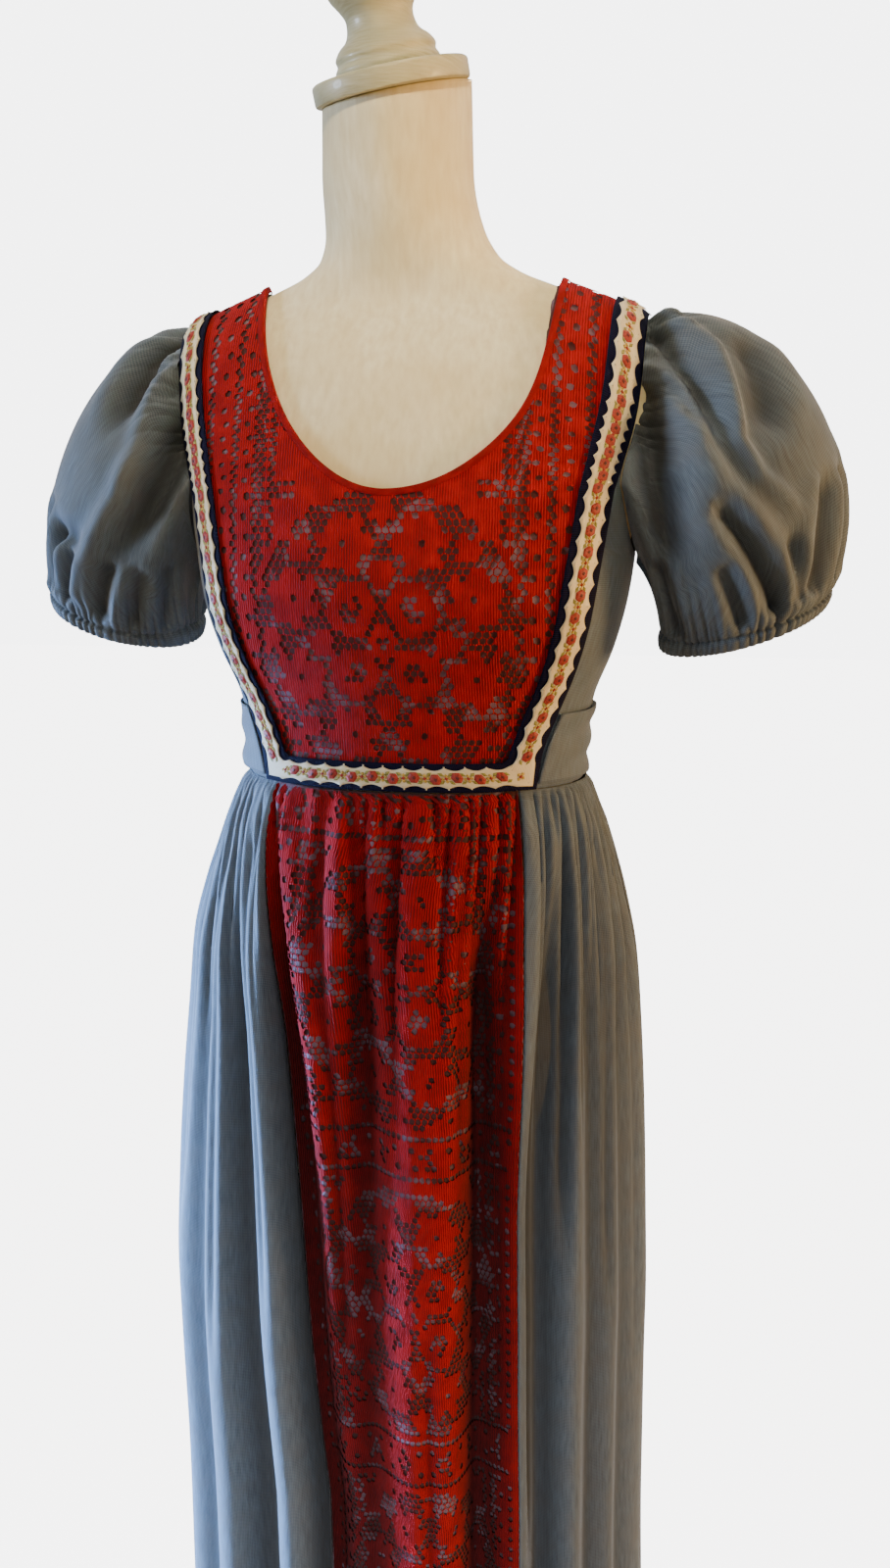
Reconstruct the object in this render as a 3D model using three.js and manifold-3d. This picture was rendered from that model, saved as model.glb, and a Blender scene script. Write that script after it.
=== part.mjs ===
// A maxi dress on a limbless dress form, as a standalone three.js model.
// Millimetres, +Z up, the dress faces -Y, +X is the wearer's left. The origin is on the floor,
// under the middle of the stand's base.
import * as THREE from "three";
import Module from "manifold-3d";

// Driving dimensions
const hemHeight = 70;
const waistHeight = 1094;
const armpitHeight = 1252;
const pivotHeight = 1300; // yoke rows fan out from this height, over the shoulder
const yokeReach = 120; // row length for one radian of that fan
const shoulderRow = pivotHeight + (yokeReach * Math.PI) / 2;
const clothThickness = 1;
const seamGap = 0.3;
const layerGap = 0.5;
const ribbonGap = 1.2;
const ribbonWidth = 21; // the navy ribbon
const braidWidth = 15; // the rosebud braid on it, to the tips of its scallops
const braidScallop = 1.8;
const braidRepeat = 14;
const neckHalfWidth = 107.5;
const neckPower = { left: 2.15, right: 2 };
const neckInset = 15; // the right strap leans in by this, below the shoulder
const frontNeckRow = 1300;
const backNeckRow = 1408;
const degrees = Math.PI / 180;

// Sections of the dress form, a superellipse each. ease is how far the bodice stands off it.
const figure = [
  { z: 780, side: 146, front: 82, back: 98, power: 2.2, ease: 6 },
  { z: 880, side: 156, front: 88, back: 102, power: 2.2, ease: 6 },
  { z: 960, side: 148, front: 84, back: 98, power: 2.2, ease: 7 },
  { z: 1030, side: 133, front: 80, back: 88, power: 2.2, ease: 8 },
  { z: 1095, side: 120, front: 78, back: 80, power: 2.2, ease: 8 },
  { z: 1150, side: 127, front: 86, back: 82, power: 2.2, ease: 6 },
  { z: 1190, side: 142, front: 97, back: 87, power: 2.3, ease: 6 },
  { z: 1230, side: 153, front: 106, back: 93, power: 2.4, ease: 5 },
  { z: 1270, side: 159, front: 103, back: 97, power: 2.4, ease: 4 },
  { z: 1310, side: 165, front: 94, back: 98, power: 2.5, ease: 3 },
  { z: 1350, side: 171, front: 80, back: 94, power: 2.5, ease: 2.8 },
  { z: 1385, side: 173, front: 67, back: 86, power: 2.5, ease: 2.8 },
  { z: 1404, side: 170, front: 57, back: 77, power: 2.4, ease: 2.8 },
  { z: 1414, side: 163, front: 51, back: 69, power: 2.3, ease: 2.8 },
  { z: 1421, side: 152, front: 47, back: 64, power: 2.2, ease: 2.8 },
  { z: 1427, side: 140, front: 44, back: 60, power: 2.2, ease: 2.8 },
  { z: 1434, side: 123, front: 42, back: 57, power: 2.1, ease: 2.8 },
  { z: 1441, side: 104, front: 42, back: 54, power: 2.1, ease: 2.8 },
  { z: 1451, side: 80, front: 44, back: 50, power: 2, ease: 2.8 },
  { z: 1462, side: 65, front: 46, back: 48, power: 2, ease: 2.8 },
  { z: 1480, side: 57, front: 50, back: 44, power: 2, ease: 2.8 },
  { z: 1505, side: 54, front: 54, back: 38, power: 2, ease: 2.8 },
  { z: 1566, side: 52, front: 60, back: 30, power: 2, ease: 2.8 },
];

// Half the width between the two braided seams of the front, row by row.
const braidedSeam = [
  { row: 1094, half: 84.5 },
  { row: 1125, half: 92 },
  { row: 1150, half: 101 },
  { row: 1184, half: 114 },
  { row: 1216, half: 122.5 },
  { row: 1250, half: 128 },
  { row: 1284, half: 133 },
  { row: 1312, half: 137 },
  { row: 1352, half: 142 },
  { row: 1411, half: 149 },
  { row: shoulderRow, half: 155 },
];

// How far out the armhole seam lies, front and back, above the armpit.
const armhole = [
  { row: armpitHeight, front: 163, back: 163 },
  { row: 1282, front: 156, back: 158 },
  { row: 1313, front: 151.5, back: 154 },
  { row: 1343, front: 153.5, back: 155 },
  { row: 1374, front: 157, back: 158 },
  { row: 1411, front: 161, back: 161 },
  { row: 1450, front: 164.5, back: 164.5 },
  { row: shoulderRow, front: 166, back: 166 },
];

// Outline of the skirt over the crests of its folds, and how far it hangs to the wearer's left.
const skirtOutline = [
  { z: 70, side: 214, front: 141, back: 158, shift: -5 },
  { z: 200, side: 210, front: 138, back: 155, shift: -6 },
  { z: 350, side: 205, front: 135, back: 152, shift: -8 },
  { z: 500, side: 202, front: 132, back: 149, shift: -10 },
  { z: 650, side: 202, front: 129, back: 146, shift: -12 },
  { z: 745, side: 198, front: 126, back: 143, shift: -11 },
  { z: 830, side: 192, front: 123, back: 139, shift: -9 },
  { z: 900, side: 185, front: 119, back: 134, shift: -7 },
  { z: 955, side: 178, front: 114, back: 127, shift: -6 },
  { z: 1000, side: 166, front: 109, back: 119, shift: -4 },
  { z: 1040, side: 152, front: 102, back: 109, shift: -2 },
  { z: 1075, side: 138, front: 93, back: 97, shift: -1 },
  { z: 1094, side: 130, front: 88, back: 90, shift: 0 },
];

// Lines down the skirt, by their angle from the centre front in degrees at four heights.
// A line with a depth is the bottom of a fold, the others are seams.
const skirtLevels = { shin: 520, thigh: 770, hip: 955, waist: waistHeight };
const skirtLines = [
  { name: "back seam right", waist: -180, hip: -180, thigh: -180, shin: -180 },
  { name: "back fold", waist: -168, hip: -168, thigh: -168, shin: -169, depth: 19, width: 4.6 },
  { name: "back fold", waist: -153, hip: -153, thigh: -152, shin: -151, depth: 15, width: 5 },
  { name: "back fold", waist: -138, hip: -138, thigh: -137, shin: -136, depth: 20, width: 4.8 },
  { name: "back fold", waist: -121, hip: -121, thigh: -121, shin: -122, depth: 17, width: 4.6 },
  { name: "back fold", waist: -106, hip: -105, thigh: -105, shin: -104, depth: 14, width: 5 },
  { name: "side seam right", waist: -90, hip: -90, thigh: -90, shin: -90 },
  { name: "side fold", waist: -80, hip: -75, thigh: -75, shin: -74, depth: 12, width: 5 },
  { name: "side fold", waist: -70, hip: -60, thigh: -56, shin: -54, depth: 13, width: 4.6 },
  { name: "front fold", waist: -58, hip: -45, thigh: -37, shin: -31.5, depth: 20, width: 4.6 },
  { name: "lace seam right", waist: -44, hip: -30.5, thigh: -20.7, shin: -13.9 },
  { name: "lace fold", waist: -37, hip: -24.5, thigh: -15.2, shin: -9.8, depth: 25, width: 4.2 },
  { name: "lace fold", waist: -8, hip: -3.8, thigh: -1.1, shin: 0.2, depth: 15, width: 4.6 },
  { name: "lace fold", waist: 33, hip: 26, thigh: 26, shin: 25.8, depth: 24, width: 4.4 },
  { name: "lace seam left", waist: 42, hip: 35.3, thigh: 34, shin: 34.4 },
  { name: "front fold", waist: 54, hip: 46, thigh: 42, shin: 42.8, depth: 21, width: 4.4 },
  { name: "side fold", waist: 68, hip: 60.5, thigh: 59, shin: 59, depth: 14, width: 5 },
  { name: "side fold", waist: 80, hip: 75, thigh: 74, shin: 74, depth: 11, width: 5 },
  { name: "side seam left", waist: 90, hip: 90, thigh: 90, shin: 90 },
  { name: "back fold", waist: 104, hip: 104, thigh: 104, shin: 103, depth: 15, width: 5 },
  { name: "back fold", waist: 119, hip: 119, thigh: 119, shin: 120, depth: 19, width: 4.6 },
  { name: "back fold", waist: 135, hip: 135, thigh: 134, shin: 133, depth: 15, width: 4.8 },
  { name: "back fold", waist: 151, hip: 151, thigh: 151, shin: 151, depth: 20, width: 4.8 },
  { name: "back fold", waist: 166, hip: 166, thigh: 167, shin: 168, depth: 16, width: 4.6 },
  { name: "back seam left", waist: 180, hip: 180, thigh: 180, shin: 180 },
];
const skirtRows = [waistHeight - seamGap, 1077, 1040, 985, 905, 795, 630, 380, hemHeight];
const gatherHeight = 1.6;

// Each puff sleeve: how it leaves the armhole and how it comes into the cuff.
const puffs = {
  left: { capOut: 76, capRise: 25, cuffX: 240, cuffOut: 38, cuffRise: 108, depth: 38 },
  right: { capOut: 54, capRise: 12, cuffX: 232, cuffOut: 12, cuffRise: 104, depth: 36 },
};
const cuff = { z: 1209, halfWidth: 57, halfDepth: 52, tilt: 0.3, frontDrop: 13 };
const pleats = { count: 16, cap: 4.5, cuff: 2.5 };

// The sash, its knot at the back and its two tails
const sashWidth = 50;
const sashTop = waistHeight + 4 + sashWidth;
const knot = { width: 40, height: 44, depth: 24, z: 1127 };
const tailLength = { left: 430, right: 395 };

// The dress form's cap, knob, pole and base
const capRadius = 54;
const capThickness = 13;
const capForwardTilt = 15 * degrees;
const capSideTilt = -8 * degrees;
const neckTop = { x: -11, y: -15, z: 1566.6 };
const poleRadius = 14;
const baseRadius = 185;
const baseThickness = 34;

const colours = {
  lace: 0xb3201c,
  chambray: 0x6f8294,
  navy: 0x1d2142,
  braid: 0xe8dcc0,
  jersey: 0xe6ddd0,
  paint: 0xe3dcc8,
  steel: 0xb9b9b6,
};

const wasm = await Module();
wasm.setup();

const vector = (x, y, z) => new THREE.Vector3(x, y, z);
const smooth = (from, to, x) => THREE.MathUtils.smoothstep(x, from, to);

// A column of a table, read at any value of another column, on a curve through its rows.
function along(rows, key, value, column) {
  const last = rows.length - 1;
  const at = THREE.MathUtils.clamp(value, rows[0][key], rows[last][key]);
  let i = 0;
  while (i < last - 1 && at > rows[i + 1][key]) i++;
  const slope = (a, b) => (rows[b][column] - rows[a][column]) / (rows[b][key] - rows[a][key]);
  const step = rows[i + 1][key] - rows[i][key];
  const chord = slope(i, i + 1);
  const before = i > 0 ? slope(i - 1, i) : chord;
  const after = i < last - 1 ? slope(i + 1, i + 2) : chord;
  // The steeper neighbour is held back, so the curve never overshoots a row.
  const blend = (a, b) => (a * b <= 0 ? 0 : (2 * a * b) / (a + b));
  const [m0, m1] = [blend(before, chord), blend(chord, after)];
  const t = (at - rows[i][key]) / step;
  const h = t * t * (3 - 2 * t);
  return (
    rows[i][column] * (1 - h) +
    rows[i + 1][column] * h +
    step * (m0 * t * (1 - t) * (1 - t) - m1 * t * t * (1 - t))
  );
}

// Under 1 inside the bodice's own shape, over 1 outside.
function bodiceReach(x, y, z) {
  const ease = along(figure, "z", z, "ease");
  const level = z - ease * smooth(1300, 1400, z);
  const side = along(figure, "z", level, "side") + ease;
  const depth = along(figure, "z", level, y < 0 ? "front" : "back") + ease;
  const power = along(figure, "z", level, "power");
  return (Math.abs(x) / side) ** power + (Math.abs(y) / depth) ** power;
}

// A point of the bodice: beta turns from the centre line to the side, row climbs from the waist,
// and above the pivot it climbs over the shoulder. face is -1 in front and 1 behind.
function bodicePoint(beta, row, face) {
  const climb = Math.max(0, row - pivotHeight) / yokeReach;
  const centre = vector(0, 0, Math.min(row, pivotHeight));
  const way = vector(
    Math.sin(beta),
    face * Math.cos(beta) * Math.cos(climb),
    Math.cos(beta) * Math.sin(climb),
  );
  let [near, far] = [0, 260];
  for (let i = 0; i < 27; i++) {
    const middle = (near + far) / 2;
    const p = centre.clone().addScaledVector(way, middle);
    if (bodiceReach(p.x, p.y, p.z) < 1) near = middle;
    else far = middle;
  }
  return centre.addScaledVector(way, near);
}

// The same point, with the bodice's outward direction there as its out.
function bodicePlace(beta, row, face) {
  const p = bodicePoint(beta, row, face);
  const rise = (axis) => {
    const q = p.clone();
    q[axis] += 0.5;
    const ahead = bodiceReach(q.x, q.y, q.z);
    q[axis] -= 1;
    return ahead - bodiceReach(q.x, q.y, q.z);
  };
  p.out = vector(rise("x"), rise("y"), rise("z") * smooth(waistHeight, 1120, row)).normalize();
  return p;
}

// The turn at which a row of the bodice lies x out from the middle.
function turnAt(x, row, face) {
  let [low, high] = [0, Math.PI / 2];
  for (let i = 0; i < 22; i++) {
    const middle = (low + high) / 2;
    if (bodicePoint(middle, row, face).x < Math.abs(x)) low = middle;
    else high = middle;
  }
  return Math.sign(x) * low;
}

// A wall between a surface moved out by lift and by lift + thickness. at(i, j) gives its points,
// i along the rows and j across, each with its own out where it has one; a ring closes on itself.
function wall({ rows, columns, at, lift, thickness = clothThickness, ring = false }) {
  const across = ring ? columns : columns + 1;
  const grid = [];
  for (let i = 0; i <= rows; i++)
    grid.push(Array.from({ length: across }, (_, j) => at(i, j)));
  const pick = (i, j) => {
    const row = grid[THREE.MathUtils.clamp(i, 0, rows)];
    return row[ring ? (j + columns) % columns : THREE.MathUtils.clamp(j, 0, columns)];
  };
  const positions = [];
  for (const height of [lift + thickness, lift])
    for (let i = 0; i <= rows; i++)
      for (let j = 0; j < across; j++) {
        const ahead = pick(i + 1, j).clone().sub(pick(i - 1, j));
        const over = pick(i, j + 1).clone().sub(pick(i, j - 1));
        const out = pick(i, j).out ?? over.cross(ahead).normalize();
        positions.push(...pick(i, j).clone().addScaledVector(out, height).toArray());
      }
  const layer = (rows + 1) * across;
  const faces = [];
  const quad = (a, b, c, d) => faces.push(a, b, c, a, c, d);
  const outer = (i, j) => i * across + (j % across);
  const inner = (i, j) => layer + outer(i, j);
  const point = (k) => new THREE.Vector3().fromArray(positions, k * 3);
  for (let i = 0; i < rows; i++)
    for (let j = 0; j < columns; j++) {
      const [a, b, c, d] = [outer(i, j), outer(i, j + 1), outer(i + 1, j + 1), outer(i + 1, j)];
      // The quad folds along the diagonal that bulges outwards.
      const side = point(b).sub(point(a)).cross(point(c).sub(point(a)));
      const bulges = side.dot(point(d).sub(point(a))) <= 0;
      for (const [deep, turn] of [[0, 0], [layer, 1]]) {
        const round = turn ? [a, d, c, b] : [a, b, c, d];
        const from = bulges ? 0 : 1;
        quad(...[0, 1, 2, 3].map((k) => round[(k + from) % 4] + deep));
      }
    }
  for (let j = 0; j < columns; j++) {
    quad(outer(0, j), inner(0, j), inner(0, j + 1), outer(0, j + 1));
    quad(outer(rows, j), outer(rows, j + 1), inner(rows, j + 1), inner(rows, j));
  }
  for (let i = 0; !ring && i < rows; i++) {
    quad(outer(i, 0), outer(i + 1, 0), inner(i + 1, 0), inner(i, 0));
    quad(outer(i, columns), inner(i, columns), inner(i + 1, columns), outer(i + 1, columns));
  }
  return solidGeometry(positions, faces);
}

// A closed geometry with its faces turned outwards.
function solidGeometry(positions, faces) {
  const corner = (k) => new THREE.Vector3().fromArray(positions, faces[k] * 3);
  let volume = 0;
  for (let k = 0; k < faces.length; k += 3)
    volume += corner(k).dot(corner(k + 1).cross(corner(k + 2)));
  const turned = volume < 0 ? faces.map((_, k) => faces[k - (k % 3) + 2 - (k % 3)]) : faces;
  const geometry = new THREE.BufferGeometry();
  geometry.setAttribute("position", new THREE.Float32BufferAttribute(positions, 3));
  geometry.setIndex(turned);
  geometry.computeVertexNormals();
  return geometry;
}

// Cuts square eyelets through a wall. Each cut has a place, a normal and a size.
function pierce(geometry, cuts) {
  const solid = (g) =>
    new wasm.Manifold(
      new wasm.Mesh({
        numProp: 3,
        vertProperties: new Float32Array(g.getAttribute("position").array),
        triVerts: new Uint32Array(g.getIndex().array),
      }),
    );
  const positions = [];
  const faces = [];
  for (const { place, size } of cuts) {
    const out = place.out;
    const right = vector(0, 0, 1).cross(out).normalize();
    const up = out.clone().cross(right);
    const first = positions.length / 3;
    for (const depth of [-4, 4])
      for (const [a, b] of [[-1, 0], [0, -1], [1, 0], [0, 1]])
        positions.push(
          ...place
            .clone()
            .addScaledVector(out, depth)
            .addScaledVector(right, (a * size) / 2)
            .addScaledVector(up, (b * size) / 2)
            .toArray(),
        );
    const quad = (a, b, c, d) =>
      faces.push(...[a, b, c, a, c, d].map((k) => first + k));
    quad(3, 2, 1, 0);
    quad(4, 5, 6, 7);
    for (let k = 0; k < 4; k++) quad(k, (k + 1) % 4, 4 + ((k + 1) % 4), 4 + k);
  }
  const cutters = new THREE.BufferGeometry();
  cutters.setAttribute("position", new THREE.Float32BufferAttribute(positions, 3));
  cutters.setIndex(faces);
  const mesh = solid(geometry).subtract(solid(cutters)).getMesh();
  return solidGeometry([...mesh.vertProperties], [...mesh.triVerts]);
}

const dress = new THREE.Group();
const stand = new THREE.Group();

function add(group, name, geometry, colour, roughness = 0.9, metalness = 0) {
  const material = new THREE.MeshStandardMaterial({ color: colour, roughness, metalness });
  const mesh = new THREE.Mesh(geometry, material);
  mesh.name = name;
  group.add(mesh);
  return mesh;
}

// Rows of the bodice: five up to the armpit, then up and over the shoulder
const shoulderTop = shoulderRow - seamGap; // leaves the shoulder seam open by twice that
const lowRows = 5;
const highRows = 8;
const bodiceRows = Array.from({ length: lowRows + highRows + 1 }, (_, i) =>
  i <= lowRows
    ? THREE.MathUtils.lerp(waistHeight, armpitHeight, i / lowRows)
    : THREE.MathUtils.lerp(armpitHeight, shoulderTop, (i - lowRows) / highRows),
);
const seamTurn = (row, inwards = 0) =>
  turnAt(along(braidedSeam, "row", row, "half") - inwards, row, -1);
const armTurn = (row, side) =>
  row <= armpitHeight
    ? Math.PI / 2
    : turnAt(along(armhole, "row", row, side), row, side === "front" ? -1 : 1);

// A neckline point in turn and row: share runs from the middle to the shoulder seam.
function necklineAt(share, lowest, face, side) {
  const swing = (share * Math.PI) / 2;
  const leansIn = side < 0 && face < 0;
  const power = leansIn ? neckPower.right : neckPower.left;
  const inset = leansIn ? neckInset * Math.sin(swing) * Math.sqrt(Math.cos(swing)) : 0;
  const x = neckHalfWidth * Math.sin(swing) ** (2 / power) - inset;
  const row = shoulderTop - (shoulderTop - lowest) * Math.cos(swing) ** (2 / power);
  return { turn: turnAt(x, row, face), row };
}

// Columns of a panel with a scooped neck: the first neckColumns of them, counted out from the middle,
// end on the neckline, the rest on the shoulder seam. out(j) is column j's signed count.
function scoopedPanel({ out, columns, neckColumns, lowest, face, edge }) {
  const corner = turnAt(neckHalfWidth, shoulderRow, face);
  return (i, j) => {
    const count = Math.abs(out(j));
    const top =
      count < neckColumns
        ? necklineAt(count / neckColumns, lowest, face, out(j))
        : { row: shoulderTop, turn: corner };
    if (count > neckColumns)
      top.turn = THREE.MathUtils.mapLinear(count, neckColumns, columns, corner, edge(shoulderRow));
    const climb = (bodiceRows[i] - waistHeight) / (shoulderTop - waistHeight);
    const row = THREE.MathUtils.lerp(waistHeight, top.row, climb);
    const share = THREE.MathUtils.lerp(count / columns, top.turn / edge(top.row), smooth(0, 1, climb));
    return bodicePlace(Math.sign(out(j)) * share * edge(row), row, face);
  };
}

// Front of the bodice: the plain base and the lace laid on it
const frontColumns = 14;
const frontRows = lowRows + highRows;
const frontAt = scoopedPanel({
  out: (j) => j - frontColumns / 2,
  columns: frontColumns / 2,
  neckColumns: 5,
  lowest: frontNeckRow,
  face: -1,
  edge: (row) => seamTurn(row, seamGap / 2),
});
const laceLift = clothThickness + layerGap;
const ribbonLift = laceLift + clothThickness + ribbonGap;
add(
  dress,
  "bodice_front",
  wall({ rows: frontRows, columns: frontColumns, at: frontAt, lift: 0 }),
  colours.chambray,
);

// Open places in the lace of the bodice: two ladders of eyelets and a ring round the medallion
const eyeletSize = 6;
const eyeletPitch = 14.7;
const ladderHalfSpacing = 99;
const medallion = { row: 1205, radius: 44, gaps: 10 };
const bodiceEyelets = [];
const cutBodice = (x, row) => {
  const turn = turnAt(x, row, -1);
  bodiceEyelets.push({ place: bodicePlace(turn, row, -1), size: eyeletSize });
};
const ladderLow = 1200;
for (const side of [-1, 1])
  for (let row = ladderLow; row < 1370; row += eyeletPitch) cutBodice(side * ladderHalfSpacing, row);
for (let k = 0; k < medallion.gaps; k++) {
  const swing = ((k + 0.5) / medallion.gaps) * 2 * Math.PI;
  cutBodice(medallion.radius * Math.sin(swing), medallion.row + medallion.radius * Math.cos(swing));
}
add(
  dress,
  "bodice_front_lace",
  pierce(
    wall({ rows: frontRows, columns: frontColumns, at: frontAt, lift: laceLift }),
    bodiceEyelets,
  ),
  colours.lace,
);

// Side fronts, from the braided seam to the side seam and the armhole, and the two backs
const sideColumns = 4;
const backColumns = 6;
const backEdge = (row) => armTurn(row, "back") - seamGap / 2 / 160;
for (const [name, side] of [["left", 1], ["right", -1]]) {
  const sideAt = (i, j) => {
    const row = bodiceRows[i];
    const from = seamTurn(row, -seamGap / 2);
    const to = armTurn(row, "front") - seamGap / 2 / 160;
    return bodicePlace(side * THREE.MathUtils.lerp(from, to, j / sideColumns), row, -1);
  };
  add(
    dress,
    `bodice_side_${name}`,
    wall({
      rows: frontRows,
      columns: sideColumns,
      at: (i, j) => sideAt(i, side > 0 ? j : sideColumns - j),
      lift: 0,
    }),
    colours.chambray,
  );
  const backAt = scoopedPanel({
    out: (j) => side * Math.max(j, 0.01),
    columns: backColumns,
    neckColumns: 4,
    lowest: backNeckRow,
    face: 1,
    edge: backEdge,
  });
  add(
    dress,
    `bodice_back_${name}`,
    wall({
      rows: frontRows,
      columns: backColumns,
      at: (i, j) => backAt(i, side > 0 ? backColumns - j : j),
      lift: 0,
    }),
    colours.chambray,
  );
}

// The two ribbons run from one shoulder down the seam, along the waist and up to the other shoulder.
// A stop on their line holds the turn and row of its inner and outer edge.
const waistBand = { low: waistHeight + 0.5, high: waistHeight + 0.5 + ribbonWidth };
function ribbonStops(width, step) {
  const half = width / 2;
  const middle = (waistBand.low + waistBand.high) / 2;
  const top = shoulderRow - 1;
  const climb = [];
  const climbSteps = Math.round((top - middle - half) / step);
  for (let k = 0; k < climbSteps; k++) {
    const row = THREE.MathUtils.lerp(top, middle + half, k / climbSteps);
    const seam = along(braidedSeam, "row", row, "half");
    climb.push({ inner: [seam - half, row], outer: [seam + half, row] });
  }
  const seam = along(braidedSeam, "row", middle, "half");
  const corner = { inner: [seam - half, middle + half], outer: [seam + half, middle - half] };
  const floorSteps = Math.round((2 * (seam - half)) / step);
  const floor = Array.from({ length: floorSteps - 1 }, (_, k) => {
    const x = (seam - half) * (1 - (2 * (k + 1)) / floorSteps);
    return { inner: [x, middle + half], outer: [x * (1 + half / seam), middle - half] };
  });
  const mirror = ({ inner, outer }) => ({
    inner: [-inner[0], inner[1]],
    outer: [-outer[0], outer[1]],
  });
  const half1 = [...climb, corner];
  const half2 = half1.map(mirror).reverse();
  return [...half1, ...floor, ...half2].reverse();
}

// notch(k) draws both edges of the ribbon in at stop k.
function ribbon(stops, across, lift, notch = () => 0) {
  const at = (i, j) => {
    const { inner, outer } = stops[i];
    const width = Math.hypot(outer[0] - inner[0], outer[1] - inner[1]);
    const share = THREE.MathUtils.lerp(notch(i) / width, 1 - notch(i) / width, j / across);
    const x = THREE.MathUtils.lerp(inner[0], outer[0], share);
    const row = THREE.MathUtils.lerp(inner[1], outer[1], share);
    return bodicePlace(turnAt(x || 0.01, row, -1), row, -1);
  };
  return wall({ rows: stops.length - 1, columns: across, at, lift });
}
const braidStep = braidRepeat / 2;
add(
  dress,
  "ribbon_navy",
  ribbon(ribbonStops(ribbonWidth, braidRepeat), 2, ribbonLift),
  colours.navy,
  0.6,
);
add(
  dress,
  "braid_rosebud",
  ribbon(
    ribbonStops(braidWidth, braidStep),
    1,
    ribbonLift + clothThickness + ribbonGap,
    (i) => (i % 2 ? braidScallop : 0),
  ),
  colours.braid,
  0.7,
);

// Puff sleeves: each line runs from the armhole to the elastic cuff on a bulging curve.
const sleeveColumns = 4 * highRows;
const sleeveRows = 8;

// The armhole as a closed loop of the bodice's own corners: share 0 is the armpit, then the front,
// the shoulder point and the back.
const armholeCorners = Array.from({ length: 2 * highRows + 1 }, (_, k) => {
  const inFront = k <= highRows;
  const row = bodiceRows[lowRows + (inFront ? k : 2 * highRows - k)];
  return bodicePoint(armTurn(row, inFront ? "front" : "back"), row, inFront ? -1 : 1);
});
function armholeLoop(share) {
  const at = share * 2 * highRows;
  const k = Math.min(Math.floor(at), 2 * highRows - 1);
  return armholeCorners[k].clone().lerp(armholeCorners[k + 1], at - k);
}

function sleevePoint(side, share, run) {
  const puff = puffs[side];
  const swing = share * 2 * Math.PI;
  const clear = 2 * seamGap + 1.1 * Math.cos(share * Math.PI) ** 2;
  const start = armholeLoop(share).add(vector(clear, 0, 0));
  const radial = start.clone().sub(vector(start.x, 0, (armpitHeight + 1415) / 2)).normalize();
  const up = (1 - Math.cos(swing)) / 2; // 0 under the arm, 1 over the shoulder
  const outY = -Math.sin(swing);
  const end = vector(
    puff.cuffX - cuff.halfWidth * Math.cos(swing),
    cuff.halfDepth * outY,
    cuff.z - cuff.tilt * cuff.halfWidth * Math.cos(swing) + cuff.frontDrop * outY,
  );
  const leave = vector(
    THREE.MathUtils.lerp(14, puff.capOut, up),
    puff.depth * radial.y,
    radial.z > 0 ? puff.capRise * radial.z : 16 * radial.z,
  );
  const arrive = vector(
    -THREE.MathUtils.lerp(0, puff.cuffOut, up) * Math.cos(swing),
    0.75 * puff.depth * outY,
    THREE.MathUtils.lerp(16, puff.cuffRise, up),
  );
  const curve = new THREE.CubicBezierCurve3(
    start,
    start.clone().add(leave),
    end.clone().add(arrive),
    end,
  );
  const p = curve.getPoint(run);
  const middle = start.clone().lerp(vector(puff.cuffX, 0, cuff.z), run);
  const out = p.clone().sub(vector(middle.x, 0, middle.z)).normalize();
  const wave = Math.cos(swing * pleats.count);
  const atCap = up * smooth(0.02, 0.12, run) * (1 - smooth(0.2, 0.62, run));
  const atCuff = smooth(0.66, 0.97, run);
  return p.addScaledVector(out, pleats.cap * wave * atCap + pleats.cuff * (wave - 1) * atCuff);
}
const sleeveRun = [0, 0.07, 0.18, 0.34, 0.52, 0.7, 0.86, 0.955, 1];
for (const [name, side] of [["left", 1], ["right", -1]]) {
  const at = (i, j) => {
    const share = (side > 0 ? j : sleeveColumns - j) / sleeveColumns;
    const p = sleevePoint(name, share % 1, sleeveRun[i]);
    return vector(side * p.x, p.y, p.z);
  };
  add(
    dress,
    `sleeve_${name}`,
    wall({ rows: sleeveRows, columns: sleeveColumns, at, lift: 0, ring: true }),
    colours.chambray,
  );
}

// The skirt. A line's place is its angle at the thigh; it leans to other angles above and below.
function skirtAngle(line, z) {
  let i = 0;
  while (i < skirtLines.length - 2 && line > skirtLines[i + 1].thigh) i++;
  const [a, b] = [skirtLines[i], skirtLines[i + 1]];
  const share = (line - a.thigh) / (b.thigh - a.thigh);
  const stops = Object.entries(skirtLevels).map(([level, height]) => ({
    z: height,
    angle: THREE.MathUtils.lerp(a[level], b[level], share),
  }));
  return along(stops, "z", z, "angle");
}

const folds = skirtLines.filter((line) => line.depth);

function skirtPoint(line, z, gather = 0) {
  const angle = skirtAngle(line, z);
  const growth = 1 - smooth(900, 1098, z) + 0.2 * (1 - smooth(hemHeight, 700, z));
  let inwards = 0;
  for (const { thigh, depth, width } of folds)
    inwards += depth * growth * Math.exp(-(((angle - skirtAngle(thigh, z)) / width) ** 2));
  const gathered = smooth(0, 14, waistHeight - z) * smooth(975, 1070, z);
  const out = gather * gatherHeight * gathered - inwards;
  const turn = angle * degrees;
  const side = along(skirtOutline, "z", z, "side") + out;
  const depth = along(skirtOutline, "z", z, Math.abs(angle) < 90 ? "front" : "back") + out;
  const shift = along(skirtOutline, "z", z, "shift");
  return vector(shift + side * Math.sin(turn), -depth * Math.cos(turn), z);
}

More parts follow.
